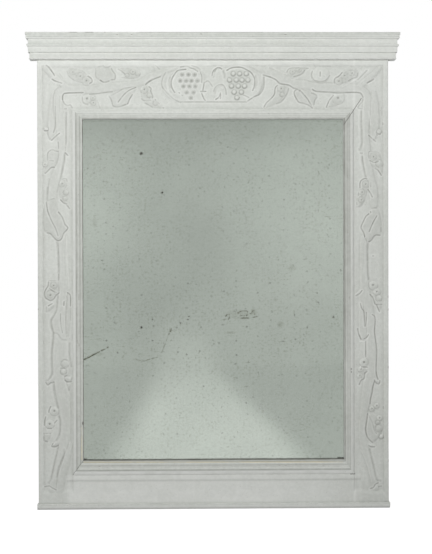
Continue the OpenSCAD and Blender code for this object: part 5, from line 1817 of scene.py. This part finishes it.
    def stile(self, side: int) -> None:
        """Builds one stile, with its mortises, rebate, hanger pocket and peg holes.

        Args:
            side: -1 for the left one, 1 for the right one.
        """
        inner, outer = self.open_half, self.half_w
        xs = spread([inner, self.ground_in - 2.0, self.ground_half, outer], [5.0, self.carve_pitch, 1.4])
        xs = xs if side > 0 else -xs[::-1]
        breaks = [self.foot, self.ground_foot - 4.0, self.ground_top + 2.0, self.body_h + 3.0, self.top]
        zs = spread(breaks, [1.8, self.carve_pitch, 2.0, 24.0])
        vine = (*FRIEZE_VINE, *(LEFT_STILE_VINE if side < 0 else RIGHT_STILE_VINE))
        play = self.tenon_play
        x0, x1 = sorted((side * (inner - 1), side * (inner + self.tenon_l + play)))
        front, back = -self.tenon_back - self.tenon_t - play, -self.tenon_back + play
        spans = self.tenon_spans()
        cuts = [box_shape((x0, front, low - play), (x1, back, high + play)) for low, high in spans]
        x0, x1 = sorted((side * (inner - 1), side * (inner + self.rebate_w)))
        low, high = self.open_bottom - self.rebate_w, self.open_top + self.rebate_w
        cuts += [box_shape((x0, -self.rebate_d, low), (x1, 1.0, high)), self.pocket(side)]
        cuts += [hole for hole in self.peg_holes() if hole.vertices[0, 0] * side > 0]
        name = "left_stile" if side < 0 else "right_stile"
        finishes = [self.finishes.paint_z, self.finishes.pine_z]
        make_piece(name + "_carved", self.slab(xs, zs, vine), finishes, nodes=(name,), cuts=cuts)

    def tenons(self, spans: list[Pair]) -> Shape:
        """The tenons of one rail, at both ends.

        Args:
            spans: lowest and highest edge of each.

        Returns:
            the tenons as one shape.
        """
        blocks = []
        for side in (-1, 1):
            x = sorted((side * self.open_half, side * (self.open_half + self.tenon_l)))
            y = (-self.tenon_back - self.tenon_t, -self.tenon_back)
            blocks += [box_shape((x[0], y[0], low), (x[1], y[1], high)) for low, high in spans]
        return joined(blocks)

    def rails(self) -> None:
        """Builds the frieze rail and the bottom rail, each with its tenons."""
        half, top, bottom = self.open_half, self.open_top, self.open_bottom
        spans, holes = self.tenon_spans(), self.peg_holes()
        finishes = [self.finishes.paint_x, self.finishes.pine_x]
        breaks = [top, self.frieze_z0 - 2.0, self.ground_top + 2.0, self.body_h + 3.0, self.top]
        xs = spread([-half, half], [self.carve_pitch])
        zs = spread(breaks, [8.0, self.carve_pitch, 2.0, 24.0])
        rebate = box_shape((-half - 1, -self.rebate_d, top - 1), (half + 1, 1.0, top + self.rebate_w))
        frieze = self.slab(xs, zs, FRIEZE_VINE)
        make_piece("frieze_rail_carved", frieze, finishes, nodes=("frieze_rail",), cuts=[rebate])
        make_piece("frieze_rail_tenons", self.tenons(spans[1:]), finishes[1:], cuts=holes)
        xs, zs = spread([-half, half], [self.plain_pitch]), spread([self.foot, bottom], [1.8])
        rebate = box_shape((-half - 1, -self.rebate_d, bottom - self.rebate_w), (half + 1, 1.0, bottom + 1))
        rail = self.slab(xs, zs, ())
        make_piece("bottom_rail_stepped", rail, finishes, nodes=("bottom_rail",), cuts=[rebate])
        make_piece("bottom_rail_tenons", self.tenons(spans[:1]), finishes[1:], cuts=holes)

    def build(self) -> None:
        """Builds both stiles and both rails."""
        for side in (-1, 1):
            self.stile(side)
        self.rails()


@dataclass(frozen=True)
class Run:
    """One straight length of moulding, with the painted shade and painted light of a sight moulding.

    A point of the section is (p, q). It lies at origin + first p + second q, and along the run from start to
    end, where each end moves by its slope times p, which cuts the mitre.
    """

    name: str
    node: str
    origin: Triple
    first: Triple
    second: Triple
    along: Triple
    start: Pair
    end: Pair
    lines: tuple[Triple, ...] = ()  # lines of painted shade along it: distance inward, width and strength
    # strength of the painted highlight along the outer edge
    rubbed: float = 0.55
    # painted shade on the inner part, heavier towards the top
    dull: float = 0.0


def streaks(distance: Array, lines: tuple[Triple, ...]) -> Array:
    """Bands along a moulding, of painted shade on the sight mouldings and of painted light on the cornice:
    the sum of bell curves, each with its place, width and strength.
    """
    return sum(strength * bell(distance - place, width) for place, width, strength in lines)


@dataclass
class Mouldings:
    """Everything that is planed to a section and mitred: sight mouldings, cornice and base strip."""

    finishes: Finishes
    pitch: float = 4.0
    section_pitch: float = 1.4
    # strength of the grime and painted shade in a moulding's hollows
    grime_and_shade: float = 0.34
    half_w: float = 528.0
    board_t: float = 30.0
    sight_half: float = 422.0
    sight_low: float = 105.0
    sight_high: float = 1204.0
    side_w: float = 30.0
    bottom_w: float = 45.0
    roll: float = 7.0
    roll_foot: float = 1.5
    lip: float = 2.2
    cornice_z: float = 1350.0
    lift: float = 2.4
    cap_z: float = 1425.0
    cap_out: float = 33.0
    cap_t: float = 7.0
    base_half: float = 532.0
    base_d: float = 34.0
    base_h: float = 18.0
    base_r: float = 11.0
    base_crest: float = 2.0
    # Lines of painted shade on each sight member: distance inward, width and strength.
    top_shade_lines: tuple[Triple, ...] = ((6.4, 1.6, 0.10), (20.0, 1.6, 0.24), (27.4, 2.2, 0.60))
    left_shade_lines: tuple[Triple, ...] = ((9.6, 2.4, 0.52), (20.8, 1.8, 0.44), (30.0, 1.8, 0.92))
    right_shade_lines: tuple[Triple, ...] = ((10.8, 1.5, 0.28), (18.6, 2.6, 0.16), (27.0, 2.1, 0.52))
    bottom_shade_lines: tuple[Triple, ...] = (
        (14.2, 2.2, 0.48), (28.0, 2.4, 0.28), (38.4, 1.5, 0.42), (44.2, 2.2, 1.0),
    )
    # Bands of painted light on the cornice: height above its underside, width and strength.
    cornice_lights: tuple[Triple, ...] = (
        (62.5, 4.2, 0.75), (38.8, 2.4, 0.65), (30.0, 6.0, 0.24), (19.5, 2.6, 0.50), (7.5, 1.6, 0.30),
    )
    cap_chips: tuple[Triple, ...] = (
        (-428.0, -407.0, 0.8), (-383.0, -358.0, 0.8), (-220.0, 150.0, 0.42), (150.0, 560.0, 0.2),
    )

    def sight_section(self, width: float) -> Array:
        """Section of the sight moulding: a long ovolo, a flat, a cove and a small bead at the sight edge.

        Args:
            width: how wide the member is.

        Returns:
            rows of (distance from the outer edge, height above the face).
        """
        lip, foot = self.lip, self.roll_foot
        t = np.linspace(0.0, 1.0, 12)
        ovolo = np.stack([0.46 * t, foot + (self.roll - foot) * np.sin(np.radians(125.0 * t))], 1)
        a = np.radians(np.linspace(0.0, 90.0, 8))
        cove = np.stack([0.58 + 0.22 * np.sin(a), lip + 1.6 * np.cos(a)], 1)
        b = np.radians(np.linspace(0.0, 180.0, 9))
        bead = np.stack([0.91 - 0.09 * np.cos(b), lip + 1.4 * np.sin(b)], 1)
        flat = np.array([[0.46, lip + 2.2], [0.58, lip + 2.2]])
        section = np.vstack([[[0.0, 0.0]], ovolo, flat, cove, bead, [[1.0, 0.0]]])
        return section * np.array([width, 1.0])

    def cornice_section(self) -> Array:
        """Section of the cornice.

        From below: a bead, two bands with a groove between them, a bead, a cove, a bead and a fillet.

        Returns:
            rows of (distance out from the frame, height above the underside).
        """
        foot, middle, top = 21.0, 25.0, 29.0
        z0, z1, z2, z3, z4 = self.lift, 5.6, 19.8, 22.6, 39.0
        z5, z6, z7, z8, z9 = 48.0, 59.0, 63.0, 69.0, 75.0
        return np.vstack([
            [[0.0, z0]],
            arc((foot, (z0 + z1) / 2), (z1 - z0) / 2, -90.0, 90.0),
            [[foot, z2], [foot - 2.0, z2], [foot - 2.0, z3], [middle, z3]],
            arc((middle, (z4 + z5) / 2), (z5 - z4) / 2, -90.0, 90.0),
            arc((top, z6), top - middle, 180.0, 90.0),
            arc((top, (z7 + z8) / 2), (z8 - z7) / 2, -90.0, 90.0),
            [[top + 2.0, z8], [top + 2.0, z9], [0.0, z9]],
        ])

    def outline(self, section: Array, ease: float) -> tuple[Array, Array, Array]:
        """The worn outline of a section, fine enough to carry along a run.

        Args:
            section: its corners.
            ease: radius of its worn corners.

        Returns:
            its points, the direction outwards at each, and how sharply it turns there, negative in a hollow.
        """
        outline = refined(eased(section, ease), self.section_pitch)
        after = np.roll(outline, -1, 0)
        area = np.sum(outline[:, 0] * after[:, 1] - after[:, 0] * outline[:, 1])
        outline = outline if area > 0 else outline[::-1]
        tangent = np.roll(outline, -1, 0) - np.roll(outline, 1, 0)
        tangent /= np.linalg.norm(tangent, axis=1)[:, None]
        normal = np.stack([tangent[:, 1], -tangent[:, 0]], 1)
        turn = np.roll(tangent, -1, 0) - np.roll(tangent, 1, 0)
        return outline, normal, -np.sum(turn * normal, 1)

    def sweep(self, run: Run, section: Array, ease: float, contact: float = 1.5) -> Shape:
        """Carries a section along a run.

        The section's corners are eased, and its surface is moved inwards by a soft noise, apart from what
        lies within the contact distance of the frame.

        Args:
            run: where the moulding goes.
            section: its closed outline.
            ease: radius of its worn corners.
            contact: height below which it isn't moved.

        Returns:
            the moulding with its mask of grime and painted shade in the hollows, and its masks of painted
            light and wear.
        """
        outline, normal, convex = self.outline(section, ease)
        around = np.cumsum(np.linalg.norm(np.roll(outline, -1, 0) - outline, axis=1))[None, :]
        length = abs(run.end[0] - run.start[0])
        share = np.linspace(0.0, 1.0, max(3, round(length / self.pitch)))[:, None]
        far = share * length
        seed = 40 + len(run.name)
        soft = 0.16 * uneven(far, around * 2.0, 48.0, seed) + 0.07 * uneven(far, around, 11.0, seed + 3)
        dent = uneven(far, around * 1.5, 17.0, seed + 9, 3)
        free = smooth((outline[:, 1] - contact) / 1.5)[None, :]
        edge = np.clip(convex, 0.0, 1.2)[None, :]
        move = np.minimum((soft - 0.5 * smooth((dent - 0.45) / 0.2) * edge) * free, 0.0)
        p = outline[None, :, 0] + move * normal[None, :, 0]
        q = outline[None, :, 1] + move * normal[None, :, 1]
        start = run.start[0] + run.start[1] * p
        end = run.end[0] + run.end[1] * p
        along = start + (end - start) * share
        axes = [np.array(axis, float) for axis in (run.first, run.second, run.along)]
        points = np.array(run.origin, float)
        for place, axis in zip((p, q, along), axes):
            points = points + place[..., None] * axis
        rows, columns = p.shape
        faces = grid_quads(rows, columns, close_columns=True)
        caps = [list(range(columns))[::-1], list(range((rows - 1) * columns, rows * columns))]
        if np.dot(np.cross(axes[0], axes[1]), axes[2]) < 0:
            faces, caps = faces[:, ::-1], [cap[::-1] for cap in caps]
        hollow = np.clip(-convex, 0.0, 1.0)
        hollow = np.maximum(hollow, np.maximum(np.roll(hollow, 1), np.roll(hollow, -1)) * 0.8)
        patchy = 0.75 + 0.4 * uneven(far, around, 30.0, seed + 5)
        grime_and_shade = self.grime_and_shade * np.clip(1.6 * hollow[None, :] * patchy, 0.0, 1.0)
        bare = smooth((dent - 0.50) / 0.12) * np.clip(edge * 1.6, 0.0, 1.0) * free
        masks = {"grime_and_shade": grime_and_shade.ravel(), "clean": np.zeros(grime_and_shade.size), "bare": bare.ravel()}
        return Shape(points.reshape(-1, 3), faces.tolist() + caps, masks)

    def finish(self, run: Run, shape: Shape) -> None:
        """Makes the piece, in the paint whose brush marks follow the run."""
        paint = self.finishes.paint_z if run.along == UP else self.finishes.paint_x
        make_piece(run.name, shape, [paint], nodes=(run.node,))

    def sight_runs(self) -> list[tuple[float, Run]]:
        """The four mitred members round the glass.

        Returns:
            the width of each, and how it runs.
        """
        x, low, high, face = self.sight_half, self.sight_low, self.sight_high, -self.board_t
        side, bottom = self.side_w, self.bottom_w
        foot, head = (low, bottom / side), (high, -1)
        return [
            (side, Run("sight_top_worn", "sight_mould_top", (0, face, high), DOWN, OUT, RIGHT,
                       (-x, 1), (x, -1), self.top_shade_lines, 0.0)),
            (bottom, Run("sight_bottom_worn", "sight_mould_bottom", (0, face, low), UP, OUT, RIGHT,
                         (-x, side / bottom), (x, -side / bottom), self.bottom_shade_lines, 1.0)),
            (side, Run("sight_left_worn", "sight_mould_left", (-x, face, 0), RIGHT, OUT, UP,
                       foot, head, self.left_shade_lines, dull=0.08)),
            (side, Run("sight_right_worn", "sight_mould_right", (x, face, 0), LEFT, OUT, UP,
                       foot, head, self.right_shade_lines, dull=0.16)),
        ]

    def sight(self) -> None:
        """Builds the sight mouldings, with painted shade along their lines and a painted highlight along
        their outer edge.
        """
        for width, run in self.sight_runs():
            shape = self.sweep(run, self.sight_section(width), 0.45)
            inward = np.abs((shape.vertices - np.array(run.origin)) @ np.array(run.first))
            aloft = 0.5 + smooth((shape.vertices[:, 2] - 380.0) / 200.0)
            # Painted shade on the inner part and along the lines, painted highlight by the outer edge.
            dull = run.dull * aloft * smooth((inward - 8.0) / 3.0)
            hollow = 0.35 * shape.masks["grime_and_shade"] * smooth((inward - 2.0) / 2.0)
            shape.masks["grime_and_shade"] = hollow + streaks(inward, run.lines) + dull
            shape.masks["clean"] = run.rubbed * smooth((4.0 + 0.2 * width - inward) / 4.5)
            self.finish(run, shape)

    def cornice(self) -> None:
        """Builds the front and the two returns of the cornice, with painted light on its edges, beads and
        right part, and painted shade under the bead.
        """
        half, board, base = self.half_w, self.board_t, self.cornice_z
        runs = [
            Run("cornice_front_worn", "cornice_front", (0, -board, base),
                OUT, UP, RIGHT, (-half, -1), (half, 1)),
            Run("cornice_left_worn", "cornice_return_left", (-half, 0, base),
                LEFT, UP, OUT, (0, 0), (board, 1)),
            Run("cornice_right_worn", "cornice_return_right", (half, 0, base),
                RIGHT, UP, OUT, (0, 0), (board, 1)),
        ]
        for run in runs:
            shape = self.sweep(run, self.cornice_section(), 0.5, contact=-5.0)
            x, y, z = shape.vertices.T
            above = z - base
            # Painted shade along the underside of the lowest bead.
            under = 0.12 * bell(above - self.lift - 1.6, 1.5) * smooth((-y - 46.0) / 3.0)
            shape.masks["grime_and_shade"] = np.maximum(0.12 * shape.masks["grime_and_shade"], under)
            # Painted light on the underside, on the beads and towards the right end.
            lights = np.maximum(smooth(2.0 * self.lift - above), streaks(above, self.cornice_lights))
            shape.masks["clean"] = np.maximum(lights, 0.35 * smooth((x - 250.0) / 250.0))
            self.finish(run, shape)

    def cap(self) -> None:
        """Builds the thin board on top, whose front edge is chipped and darker in places."""
        depth, end, thick = self.board_t + self.cap_out, self.half_w + self.cap_out, self.cap_t
        section = np.array([[0.0, 0.0], [depth, 0.0], [depth, thick], [0.0, thick]])
        run = Run("cornice_cap_worn", "cornice_cap", (0, 0, self.cap_z), OUT, UP, RIGHT, (-end, 0), (end, 0))
        shape = self.sweep(run, section, 0.9, contact=-5.0)
        x, y, z = shape.vertices.T
        edge = smooth((z - self.cap_z - 4.0) / 2.0) * (y < 3.0 - depth)
        for low, high, dark in self.cap_chips:
            inside = (high - low) / 2 - abs(x - (low + high) / 2)
            at_least(shape.masks["grime_and_shade"], dark * smooth((inside + 2.0) / 3.0) * edge)
        self.finish(run, shape)

    def base(self) -> None:
        """Builds the strip along the bottom, with its rounded lower front edge."""
        depth, height, radius, crest = self.base_d, self.base_h, self.base_r, self.base_crest
        section = np.vstack([
            [[0.0, 0.0]],
            arc((depth - radius, radius), radius, -90.0, 0.0),
            arc((depth - crest, height - crest), crest, 0.0, 90.0, 4),
            [[0.0, height]],
        ])
        half = self.base_half
        run = Run("base_strip_worn", "base_strip", (0, 0, 0), OUT, UP, RIGHT, (-half, 0), (half, 0))
        shape = self.sweep(run, section, 0.4, contact=1.0)
        # Painted light on the lower rounded edge.
        shape.masks["clean"] = 0.6 * smooth((16.0 - shape.vertices[:, 2]) / 9.0)
        self.finish(run, shape)

    def build(self) -> None:
        """Builds all mouldings."""
        self.sight()
        self.cornice()
        self.cap()
        self.base()


@dataclass
class Plate:
    """The mirror plate: a sheet of old glass with the silvering on its back."""

    finishes: Finishes
    half: float = 397.0
    low: float = 142.0
    high: float = 1179.0
    face: float = -30.0
    glass_t: float = 4.0
    silver_t: float = 0.15
    pitch: float = 16.0

    def sheet(self, front: float, back: float) -> Shape:
        """A flat slab on a grid, front and back alike, with a strip of quads round its edge.

        Args:
            front: y of its front.
            back: y of its back.

        Returns:
            the slab.
        """
        xs = spread([-self.half, self.half], [self.pitch])
        zs = spread([self.low, self.high], [self.pitch])
        x, z = np.meshgrid(xs, zs)
        layers = [np.stack([x, np.full(x.shape, y), z], -1).reshape(-1, 3) for y in (front, back)]
        quads = grid_quads(len(zs), len(xs))
        index = np.arange(x.size).reshape(x.shape)
        loop = np.concatenate([index[0, :-1], index[:-1, -1], index[-1, :0:-1], index[:0:-1, 0]])
        after = np.roll(loop, -1)
        rim = np.stack([after, loop, loop + x.size, after + x.size], 1)
        return Shape(np.vstack(layers), np.vstack([quads, quads[:, ::-1] + x.size, rim]).tolist())

    def build(self) -> None:
        """Builds the glass and the silvering."""
        seam = self.face + self.glass_t - self.silver_t
        glass = self.sheet(self.face + 0.02, seam - 0.05)
        make_piece("mirror_glass", glass, [self.finishes.glass], nodes=("mirror_plate",))
        silver = self.sheet(seam, self.face + self.glass_t - 0.01)
        make_piece("mirror_silvering", silver, [self.finishes.silver])


@dataclass
class Back:
    """The back: boards, blocks, pegs and straps keep their CAD form; the small iron is finer."""

    finishes: Finishes
    nail_x: float = 406.0
    plank_n: int = 6
    plank_z0: float = 130.0
    plank_pitch: float = 1064.0 / 6.0
    plank_back: float = -6.0
    nail_spread: float = 0.28
    hanger_x: float = 464.0
    hinge_y: float = -4.8
    hinge_z: float = 1040.0
    strap_face: float = -7.2
    screw_r: float = 3.5
    ring_r: float = 17.0
    wire_r: float = 2.0
    leg: float = 12.0

    def dress(self, node: str, material: Material) -> None:
        """Gives a CAD node its finish."""
        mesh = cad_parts[node].data
        mesh.materials.clear()
        mesh.materials.append(material)
        LOG.info("%s keeps its CAD form", node)

    def nails(self) -> None:
        """Hammered nails: a domed, slightly uneven head over a straight shank."""
        head, rise, shank, length = 2.6, 1.0, 1.1, 20.0
        profile = np.array([
            [0, rise], [1.3, rise * 0.95], [2.2, rise * 0.7], [head, 0.25], [head - 0.1, 0.0],
            [shank, 0.0], [shank, -length + 2], [0, -length],
        ])
        places = [
            (side * self.nail_x, self.plank_back, self.plank_z0 + self.plank_pitch * (board + share))
            for side in (-1, 1)
            for board in range(self.plank_n)
            for share in (0.5 - self.nail_spread, 0.5 + self.nail_spread)
        ]
        shape = joined([turned_shape(profile, place, 14) for place in places])
        x, y, z = shape.vertices.T
        wobble = 1.0 + 0.04 * uneven(x * 3.0, z * 3.0, 2.0, 5)
        shape.vertices[:, 1] = self.plank_back + (y - self.plank_back) * np.minimum(wobble, 1.0)
        iron = [self.finishes.iron]
        make_piece("back_nails_hammered", shape, iron, nodes=("back_board_nails",))

    def screws(self) -> None:
        """Countersunk screws with a slot cut across each head."""
        shank, head_h, length, pitch = 1.8, 1.4, 14.0, 20.0
        profile = np.array([
            [0, 0.0], [self.screw_r - 0.15, 0.0], [self.screw_r, -0.12], [shank, -head_h],
            [shank, -length + 3], [0, -length],
        ])
        slot = box_shape((-4.0, -0.8, -0.45), (4.0, 0.5, 0.45))
        screws, slots = [], []
        for side in (-1, 1):
            for i in (1, 2, 3):
                place = (side * self.hanger_x, self.strap_face, self.hinge_z + pitch * i - 1.0)
                screws.append(turned_shape(profile, place, 28))
                angle = math.radians(25.0 + 47.0 * i * side)
                c, s = math.cos(angle), math.sin(angle)
                turned = slot.vertices @ np.array([[c, 0, s], [0, 1, 0], [-s, 0, c]])
                slots.append(Shape(turned + np.array(place), slot.faces))
        shape, iron, nodes = joined(screws), [self.finishes.iron], ("hanger_screws",)
        make_piece("hanger_screws_slotted", shape, iron, nodes=nodes, cuts=slots)

    def ring(self, side: int) -> None:
        """A hand-bent ring: a straight bar, two legs and a half circle, of slightly uneven wire.

        Args:
            side: -1 for the left one, 1 for the right one.
        """
        name = "left" if side < 0 else "right"
        r, leg, bend = self.ring_r, self.leg, 1.6
        half_turn = arc((0.0, -leg), r, 180.0, 360.0, 28)
        corner_r = arc((r - bend, -bend), bend, 0.0, 90.0, 4)
        corner_l = arc((-r + bend, -bend), bend, 90.0, 180.0, 4)
        bar = np.stack([np.linspace(r - bend, -r + bend, 12)[1:-1], np.zeros(10)], 1)
        loop = np.vstack([half_turn, corner_r, bar, corner_l])
        pivot = np.array([side * self.hanger_x, self.hinge_y, self.hinge_z])
        path = np.insert(loop, 1, 0.0, axis=1) + pivot
        steps = np.arange(len(path), dtype=float)
        radius = self.wire_r * (1.0 - 0.05 * np.abs(uneven(steps, steps * 0.0, 4.0, 17 + side)))
        shape = tube_shape(path, radius, 16)
        iron, nodes = [self.finishes.iron], (f"hanger_ring_{name}",)
        make_piece(f"ring_{name}_bent", shape, iron, f"ring_{name}", nodes)

    def build(self) -> None:
        """Dresses the CAD pieces of the back and builds the finer ones."""
        for board in range(1, self.plank_n + 1):
            joint = self.plank_z0 + self.plank_pitch * (board - 1)
            pine = BareWood(f"bare_pine_board_{board}", Grain.ALONG_X, shift=0.37 * board, joint=joint)
            self.dress(f"back_board_{board}", pine.material())
        self.dress("glazing_blocks", self.finishes.pine_z)
        self.dress("tenon_pegs", self.finishes.oak)
        for name in ("left", "right"):
            self.dress(f"hanger_strap_{name}", self.finishes.iron)
        self.nails()
        self.screws()
        for side in (-1, 1):
            self.ring(side)


@dataclass(frozen=True)
class Glow:
    """A soft light or dark place on the far wall: middle and half sizes in metres, and its gain."""

    place: Pair
    half: Pair
    gain: float


@dataclass
class Studio:
    """A pale floor, soft light and the camera, with the darker room that the mirror looks into."""

    camera_at: Triple = (-0.108, -5.0, 0.7466)
    yaw: float = -1.329
    pitch: float = -0.542
    roll: float = -0.161
    lens: float = 107.3
    key_power: float = 26.8
    back_power: float = 60.0
    ambient: float = 0.36
    bounce: float = 0.34
    deep: Triple = (0.375, 0.381, 0.373)
    grey: Triple = (0.625, 0.635, 0.622)
    pale: Triple = (0.690, 0.695, 0.684)
    matt: Triple = (0.62, 0.62, 0.62)
    runner_half: float = 0.3975
    runner_narrows: float = 0.0304
    runner_off: float = 0.0225
    runner_turns: float = 0.0087
    glows: tuple[Glow, ...] = (
        Glow((-0.80, 1.15), (0.62, 0.75), 0.42),
        Glow((0.95, 1.05), (0.95, 0.95), 0.42),
        Glow((-0.25, 0.45), (0.50, 0.60), -0.16),
        Glow((0.10, 0.85), (0.35, 0.45), -0.13),
        Glow((0.10, 1.85), (1.60, 0.40), -0.30),
    )

    def plane(self, name: str, corners: list[Triple], material: Material) -> None:
        """A flat stage panel.

        Args:
            name: its name.
            corners: its four corners in turn, in metres.
            material: its finish.
        """
        mesh = bpy.data.meshes.new(name)
        mesh.from_pydata(corners, [], [[0, 1, 2, 3]])
        mesh.materials.append(material)
        panel = bpy.data.objects.new(name, mesh)
        bpy.context.scene.collection.objects.link(panel)

    def room_tone(self, s: Shader, floor: bool) -> Socket:
        """Colour of the room as the mirror shows it: grey with soft lights, and a pale tapering runner.

        Args:
            s: the shader that the tone goes into.
            floor: whether it is for the floor; on the wall the runner fades out upwards.

        Returns:
            the colour.
        """
        axes = s.tree.nodes.new("ShaderNodeSeparateXYZ")
        s.link(s.place, axes.inputs[0])
        distance = s.times(axes.outputs["Y"], -1.0)
        half = s.math("SUBTRACT", self.runner_half, s.times(distance, self.runner_narrows))
        shift = s.math("SUBTRACT", s.times(distance, self.runner_turns), self.runner_off)
        off = s.math("ABSOLUTE", s.math("ADD", axes.outputs["X"], shift))
        soft = s.step(s.math("SUBTRACT", half, off), -0.09, 0.10)
        if floor:
            share = 0.42
            runner = s.times(soft, s.step(distance, 2.0, 7.4, 1.0, 0.42))
        else:
            share = 0.50
            for glow in self.glows:
                spot = s.near_spot(glow.place, glow.half, (0.0, 0.0, 0.0), 0.0)
                share = s.math("ADD", share, s.times(spot, glow.gain), clamp=True)
            runner = s.times(soft, s.step(axes.outputs["Z"], 0.0, 0.42, 0.42, 0.0))
        return s.mix(runner, s.mix(share, self.deep, self.grey), self.pale)

    def stage_material(self, name: str, floor: bool) -> Material:
        """White to the camera, grey as light, and the tone of the room in mirrors.

        Args:
            name: the material's name.
            floor: whether it is for the floor, which also takes a shadow and is a little darker near by.

        Returns:
            the material.
        """
        s = Shader(name)
        nodes = s.tree.nodes
        room, bounce, seen = (nodes.new("ShaderNodeEmission") for _ in range(3))
        s.link(self.room_tone(s, floor), room.inputs["Color"])
        s.fill(bounce.inputs["Color"], WHITE)
        s.fill(bounce.inputs["Strength"], self.bounce)
        s.fill(seen.inputs["Color"], WHITE)
        shown = seen.outputs[0]
        if floor:
            depth = nodes.new("ShaderNodeSeparateXYZ")
            s.link(s.place, depth.inputs[0])
            s.link(s.step(depth.outputs["Y"], 0.9, 3.2, 0.72, 0.81), seen.inputs["Strength"])
            matt, both = nodes.new("ShaderNodeBsdfDiffuse"), nodes.new("ShaderNodeAddShader")
            s.fill(matt.inputs["Color"], self.matt)
            s.link(seen.outputs[0], both.inputs[0])
            s.link(matt.outputs[0], both.inputs[1])
            shown = both.outputs[0]
        ray = nodes.new("ShaderNodeLightPath")
        result = room.outputs[0]
        for kind, other in (("Is Diffuse Ray", bounce.outputs[0]), ("Is Camera Ray", shown)):
            pick = nodes.new("ShaderNodeMixShader")
            for source, target in zip((ray.outputs[kind], result, other), pick.inputs):
                s.link(source, target)
            result = pick.outputs[0]
        s.link(result, s.output.inputs["Surface"])
        nodes.remove(s.surface)
        return s.material

    def world(self) -> None:
        """White where the camera, glass and metal look past the room, and a softer grey as light."""
        world = bpy.data.worlds.new("studio")
        bpy.context.scene.world = world
        world.use_nodes = True
        nodes, links = world.node_tree.nodes, world.node_tree.links
        nodes.clear()
        ray = nodes.new("ShaderNodeLightPath")
        clear = ray.outputs["Is Camera Ray"]
        for kind in ("Is Glossy Ray", "Is Transmission Ray"):
            either = nodes.new("ShaderNodeMath")
            either.operation = "MAXIMUM"
            links.new(clear, either.inputs[0])
            links.new(ray.outputs[kind], either.inputs[1])
            clear = either.outputs[0]
        strength = nodes.new("ShaderNodeMapRange")
        strength.inputs["To Min"].default_value = self.ambient
        strength.inputs["To Max"].default_value = 1.0
        links.new(clear, strength.inputs["Value"])
        sky = nodes.new("ShaderNodeBackground")
        links.new(strength.outputs[0], sky.inputs["Strength"])
        sky.inputs["Color"].default_value = (*WHITE, 1.0)
        links.new(sky.outputs[0], nodes.new("ShaderNodeOutputWorld").inputs["Surface"])

    def lamp(self, name: str, place: Triple, aim: Triple, size: Pair, power: float) -> None:
        """A soft rectangular lamp that neither the camera nor the mirror shows.

        Args:
            name: the lamp's name.
            place: where it stands, in metres.
            aim: the point that it faces.
            size: its width and height.
            power: its power in watts.
        """
        light = bpy.data.lights.new(name, "AREA")
        light.shape, light.size, light.size_y, light.energy = "RECTANGLE", *size, power
        lamp = bpy.data.objects.new(name, light)
        lamp.location = place
        lamp.rotation_euler = (Vector(aim) - Vector(place)).to_track_quat("-Z", "Y").to_euler()
        lamp.visible_camera = lamp.visible_glossy = lamp.visible_transmission = False
        bpy.context.scene.collection.objects.link(lamp)

    def camera(self) -> None:
        """The camera: turned by yaw, then tilted by pitch, then rolled, as fitted to the picture's edges."""
        yaw, pitch, roll = (math.radians(a) for a in (self.yaw, self.pitch, self.roll))
        ahead = Vector((-math.sin(yaw) * math.cos(pitch), math.cos(yaw) * math.cos(pitch), math.sin(pitch)))
        level = Vector((math.cos(yaw), math.sin(yaw), 0.0))
        upright = level.cross(ahead)
        right = level * math.cos(roll) + upright * math.sin(roll)
        up = right.cross(ahead)
        turn = Matrix((right, up, -ahead)).transposed()
        data = bpy.data.cameras.new("camera")
        data.lens, data.clip_start, data.clip_end = self.lens, 0.1, 100.0
        camera = bpy.data.objects.new("camera", data)
        camera.matrix_world = Matrix.Translation(self.camera_at) @ turn.to_4x4()
        bpy.context.scene.collection.objects.link(camera)
        bpy.context.scene.camera = camera

    def build(self) -> None:
        """Sets up the room, the light and the camera."""
        floor = self.stage_material("studio_floor", True)
        wall = self.stage_material("studio_wall", False)
        drop = -0.0006
        self.plane("floor", [(-6, -7, drop), (6, -7, drop), (6, 5, drop), (-6, 5, drop)], floor)
        self.plane("room_wall", [(-4, -7, 0), (-4, -7, 4), (4, -7, 4), (4, -7, 0)], wall)
        self.world()
        self.lamp("key", (-0.32, -2.0, 1.50), (-0.07, 0.0, 1.04), (1.6, 0.30), self.key_power)
        self.lamp("back_fill", (1.5, 3.0, 2.6), (0.0, 0.0, 0.7), (2.4, 1.8), self.back_power)
        bpy.context.scene.view_settings.view_transform = "Standard"
        self.camera()


def main() -> None:
    """Builds the mirror part by part, then the studio round it."""
    logging.basicConfig(level=logging.INFO, format="%(name)s: %(message)s")
    finishes = Finishes()
    Carcass(finishes).build()
    Mouldings(finishes).build()
    Plate(finishes).build()
    Back(finishes).build()
    Studio().build()


if __name__ == "__main__":
    main()
